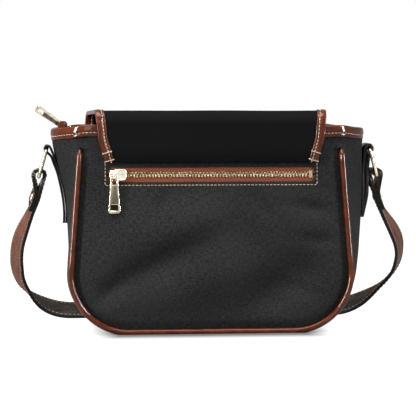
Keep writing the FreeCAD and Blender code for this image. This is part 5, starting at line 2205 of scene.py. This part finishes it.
    def strap_line(self) -> Array:
        """The strap's middle line in its own plane, from the right tail round the floor to the left tail.

        Returns:
            Points by 2.
        """
        down, join = np.array(self.down), np.array(self.join)
        out = np.array([-down[1], down[0]])
        tail_top = join + (2 * self.ply + self.tail_gap) * out
        tail = [tail_top + self.tail_long * down, tail_top]
        half = np.array([*tail, *self.over_ring, join, *self.outer_side])
        corners = np.vstack([half, half[::-1] * np.array([-1, 1])])
        line = rounded_path(corners, [*self.bends, *self.bends[::-1]], step=1.5 * MM)
        bow = hump(-line[:, 1], *self.bow_drops)
        line[:, 0] += self.bow_right * bow * (line[:, 0] > 0)
        return line

    def strap(self) -> None:
        """The strap: a brown face and a black lining sewn together, with painted black edges.

        Its section stays across the strap's plane at the rings and on the floor and turns outwards by the
        twist half way down each side, as a hanging strap does.
        """
        line = self.strap_line()
        path, level = self.in_space(line)
        out = unit(np.cross(tangents(path), level))
        turn = np.radians(self.twist) * hump(-line[:, 1], *self.twist_drops)[:, None]
        across = level * np.cos(turn) + out * np.sin(turn)
        rise = out * np.cos(turn) - level * np.sin(turn)
        flat = bar_profile(self.wide, self.ply, self.ply_edge, 3)
        shift = np.array([0.0, self.ply / 2])
        hand_side = np.sign(flat[:, 0])
        paint = (hand_side == np.roll(hand_side, -1)).astype(int)
        finishes = self.finishes
        face = [rod(carried(path, across, rise, flat + shift), slot=paint)]
        brown = [finishes.strap_tan, finishes.black]
        dressed("strap_face_leather", face, brown, "strap", "tan_leather", "strap_face")
        lining = [rod(carried(path, across, rise, flat - shift), slot=paint)]
        dark = [finishes.grey, finishes.black]
        dressed("strap_lining_leather", lining, dark, "strap", "black_leather", "strap_lining")
        run = lengths_along(path)
        keep = (run > self.unsewn) & (run < run[-1] - self.unsewn)
        rows = []
        for hand in (-1, 1):
            for facing in (1, -1):
                offset = hand * (self.wide / 2 - self.seam)
                row = path + offset * across + facing * (self.ply + self.thread_proud) * rise
                rows.append(stitches(row[keep], facing * rise[keep], self.sewing))
        dressed("strap_stitching", rows, [finishes.strap_thread], "strap", "tan_leather")

    def rivet(self, side: Side) -> None:
        """A rivet through the tail and the strap: two domed heads on a shank, turned about its axis.

        Args:
            side: which end of the bag.
        """
        down = np.array(self.down)
        out = np.array([-down[1], down[0]])
        middle = np.array(self.join) + self.rivet_down * down + (self.ply + self.tail_gap / 2) * out
        ends, across = self.in_space(middle + np.array([[-0.5], [0.5]]) * MM * out)
        mirror = np.array([side.value, 1, 1])
        axis = unit(ends[1] - ends[0]) * mirror
        half = 2 * self.ply + self.tail_gap / 2
        turn = np.linspace(0.05, math.pi / 2, 8)
        dome = np.stack([half + self.rivet_dome * np.cos(turn), self.rivet_head * np.sin(turn)], axis=1)
        neck = self.rivet_shank * self.rivet_head
        shank = np.array([[half, neck], [-half, neck]])
        outline = np.vstack([dome, shank, dome[::-1] * np.array([-1, 1])])
        path = ends.mean(axis=0) * mirror + outline[:, :1] * axis
        first = unit(np.cross(axis, across[0] * mirror))
        rings = circle_profile(1.0, 24)[None] * outline[:, 1, None, None]
        grid = carried(path, first, np.cross(axis, first), rings)
        name = "strap_rivet_" + side.name.lower()
        dressed(name + "_metal", [rod(grid)], [self.finishes.gold], "strap", "gold_metal", name)

    def build(self) -> None:
        """Makes both ends, then the strap."""
        for side in Side:
            self.tab(side)
            self.ring(side)
            self.rivet(side)
        self.strap()


# Picture


@dataclass(frozen=True)
class SoftBox:
    """A rectangular lamp.

    name: what it is called.
    at: its middle.
    size: its width and height.
    watts: its power.
    gloss_only: it shows in glossy finishes and lights nothing else.
    """

    name: str
    at: Triple
    size: Pair
    watts: float
    gloss_only: bool = False


# Tall boxes in front at the sides, each with a card for gloss, a large box above and a weak one in front.
SOFT_BOXES = (
    SoftBox("left_box", (-1.25, -0.6, 0.6), (0.12, 1.0), 16),
    SoftBox("right_box", (1.25, -0.6, 0.6), (0.12, 1.0), 6),
    SoftBox("left_card", (-1.2, -0.7, 0.6), (0.1, 1.0), 60, gloss_only=True),
    SoftBox("right_card", (1.2, -0.7, 0.6), (0.1, 1.0), 60, gloss_only=True),
    SoftBox("top_box", (-0.1, -0.2, 1.5), (1.2, 0.8), 31),
    SoftBox("front_box", (-0.5, -1.9, 0.9), (0.6, 0.6), 5),
)


@dataclass
class Studio:
    """White floor, soft boxes and the camera."""

    camera_at: Triple = (-0.14, -1.6, 0.215)
    camera_to: Triple = (0.0, 0.0, 0.1113)
    lens: float = 149.5
    sensor: float = 36.0
    lights_to: Triple = (0.0, 0.0, 0.1)
    floor_half: float = 4.0
    paper: float = 0.16
    bounce: float = 0.25
    # The floor's glow at the bag's base, the box about the base and how far the glow takes to reach full:
    # a painted contact shadow.
    contact_shadow_glow: float = 0.0
    base: Triple = (0.085, 0.058, 0.0)
    fade: Triple = (0.025, 0.026, 1.0)
    surround: float = 0.07

    def aimed(self, data: bpy.types.ID, at: Triple,
              to: Triple) -> bpy.types.Object:
        """Stands a lamp or a camera at a point so that it faces another.

        Args:
            data: the lamp or the camera.
            at: where it stands.
            to: the point that it faces.

        Returns:
            The object that holds it.
        """
        holder = bpy.data.objects.new(data.name, data)
        holder.location = at
        holder.rotation_euler = (Vector(to) - Vector(at)).to_track_quat("-Z", "Y").to_euler()
        bpy.context.scene.collection.objects.link(holder)
        return holder

    def lights(self) -> None:
        """Hangs the soft boxes."""
        for box in SOFT_BOXES:
            lamp = bpy.data.lights.new(box.name, "AREA")
            lamp.shape = "RECTANGLE"
            lamp.size, lamp.size_y = box.size
            lamp.energy = box.watts
            holder = self.aimed(lamp, box.at, self.lights_to)
            holder.visible_diffuse = not box.gloss_only

    def looking(self, tree: Tree) -> Socket:
        """1 for what the camera sees, straight, in a gloss or through glass, and 0 for cast light.

        Args:
            tree: the tree of a material or of the world.

        Returns:
            The value.
        """
        kinds = ("Is Camera Ray", "Is Glossy Ray", "Is Transmission Ray")
        camera, gloss, glass = [node(tree, "LightPath", {}, name) for name in kinds]
        either = node(tree, "Math", {0: camera, 1: gloss}, operation="MAXIMUM")
        return node(tree, "Math", {0: either, 1: glass}, operation="MAXIMUM")

    def floor(self) -> None:
        """A pale floor that the camera sees as white wherever no shadow falls, and darker near the bag's
        base by a painted contact shadow.
        """
        ends = (-self.floor_half, self.floor_half)
        sheet = np.array([[[x, y, 0.0] for x in ends] for y in ends])
        made = bpy.data.materials.new("white_paper_floor")
        made.use_nodes = True
        tree = made.node_tree
        tree.nodes.clear()
        # Painted contact shadow: the glow that the camera sees falls off towards the box about the bag's
        # base.
        place = node(tree, "TexCoord", {}, "Object")
        aside = node(tree, "VectorMath", {0: place}, operation="ABSOLUTE")
        aside = node(tree, "VectorMath", {0: aside, 1: self.base}, operation="SUBTRACT")
        aside = node(tree, "VectorMath", {0: aside, 1: (0.0, 0.0, 0.0)}, operation="MAXIMUM")
        aside = node(tree, "VectorMath", {0: aside, 1: self.fade}, operation="DIVIDE")
        far = node(tree, "VectorMath", {0: aside}, "Value", operation="LENGTH")
        level = node(tree, "MapRange", {0: far, 3: self.contact_shadow_glow, 4: 1.0})
        shades = [(shade, shade, shade, 1.0) for shade in (self.bounce, self.paper)]
        cast, seen = [node(tree, "BsdfDiffuse", {"Color": shade}) for shade in shades]
        glow = node(tree, "Emission", {"Color": (1.0, 1.0, 1.0, 1.0), "Strength": level})
        bright = node(tree, "AddShader", {0: seen, 1: glow})
        mixed = node(tree, "MixShader", {0: self.looking(tree), 1: cast, 2: bright})
        output = tree.nodes.new("ShaderNodeOutputMaterial")
        tree.links.new(mixed, output.inputs["Surface"])
        floor = make_piece("floor", [Patch(sheet, inside=(0, 0, -1))], [made])

    def world(self) -> None:
        """A white surround for what the camera, reflections and glass see, and a dim one for light."""
        made = bpy.data.worlds.new("white_surround")
        made.use_nodes = True
        tree = made.node_tree
        tree.nodes.clear()
        level = node(tree, "MapRange", {0: self.looking(tree), 3: self.surround, 4: 1.0})
        glow = node(tree, "Background", {"Color": (1.0, 1.0, 1.0, 1.0), "Strength": level})
        output = tree.nodes.new("ShaderNodeOutputWorld")
        tree.links.new(glow, output.inputs["Surface"])
        bpy.context.scene.world = made

    def camera(self) -> None:
        """The camera at the photo's angle."""
        lens = bpy.data.cameras.new("camera")
        lens.lens = self.lens
        lens.sensor_width = self.sensor
        bpy.context.scene.camera = self.aimed(lens, self.camera_at, self.camera_to)
        bpy.context.scene.view_settings.view_transform = "Standard"

    def build(self) -> None:
        """Sets the stage."""
        self.floor()
        self.world()
        self.lights()
        self.camera()


def main() -> None:
    """Builds every piece and sets the stage."""
    logging.basicConfig(level=logging.INFO)
    finishes = Finishes()
    pattern = Pattern()
    parts = ZipParts(finishes)
    Body(pattern, finishes).build()
    PocketZip(pattern, parts, finishes).build()
    TopZip(pattern, parts, finishes).build()
    Flap(pattern, finishes).build()
    Carrier(pattern, finishes).build()
    Studio().build()


if __name__ == "__main__":
    main()
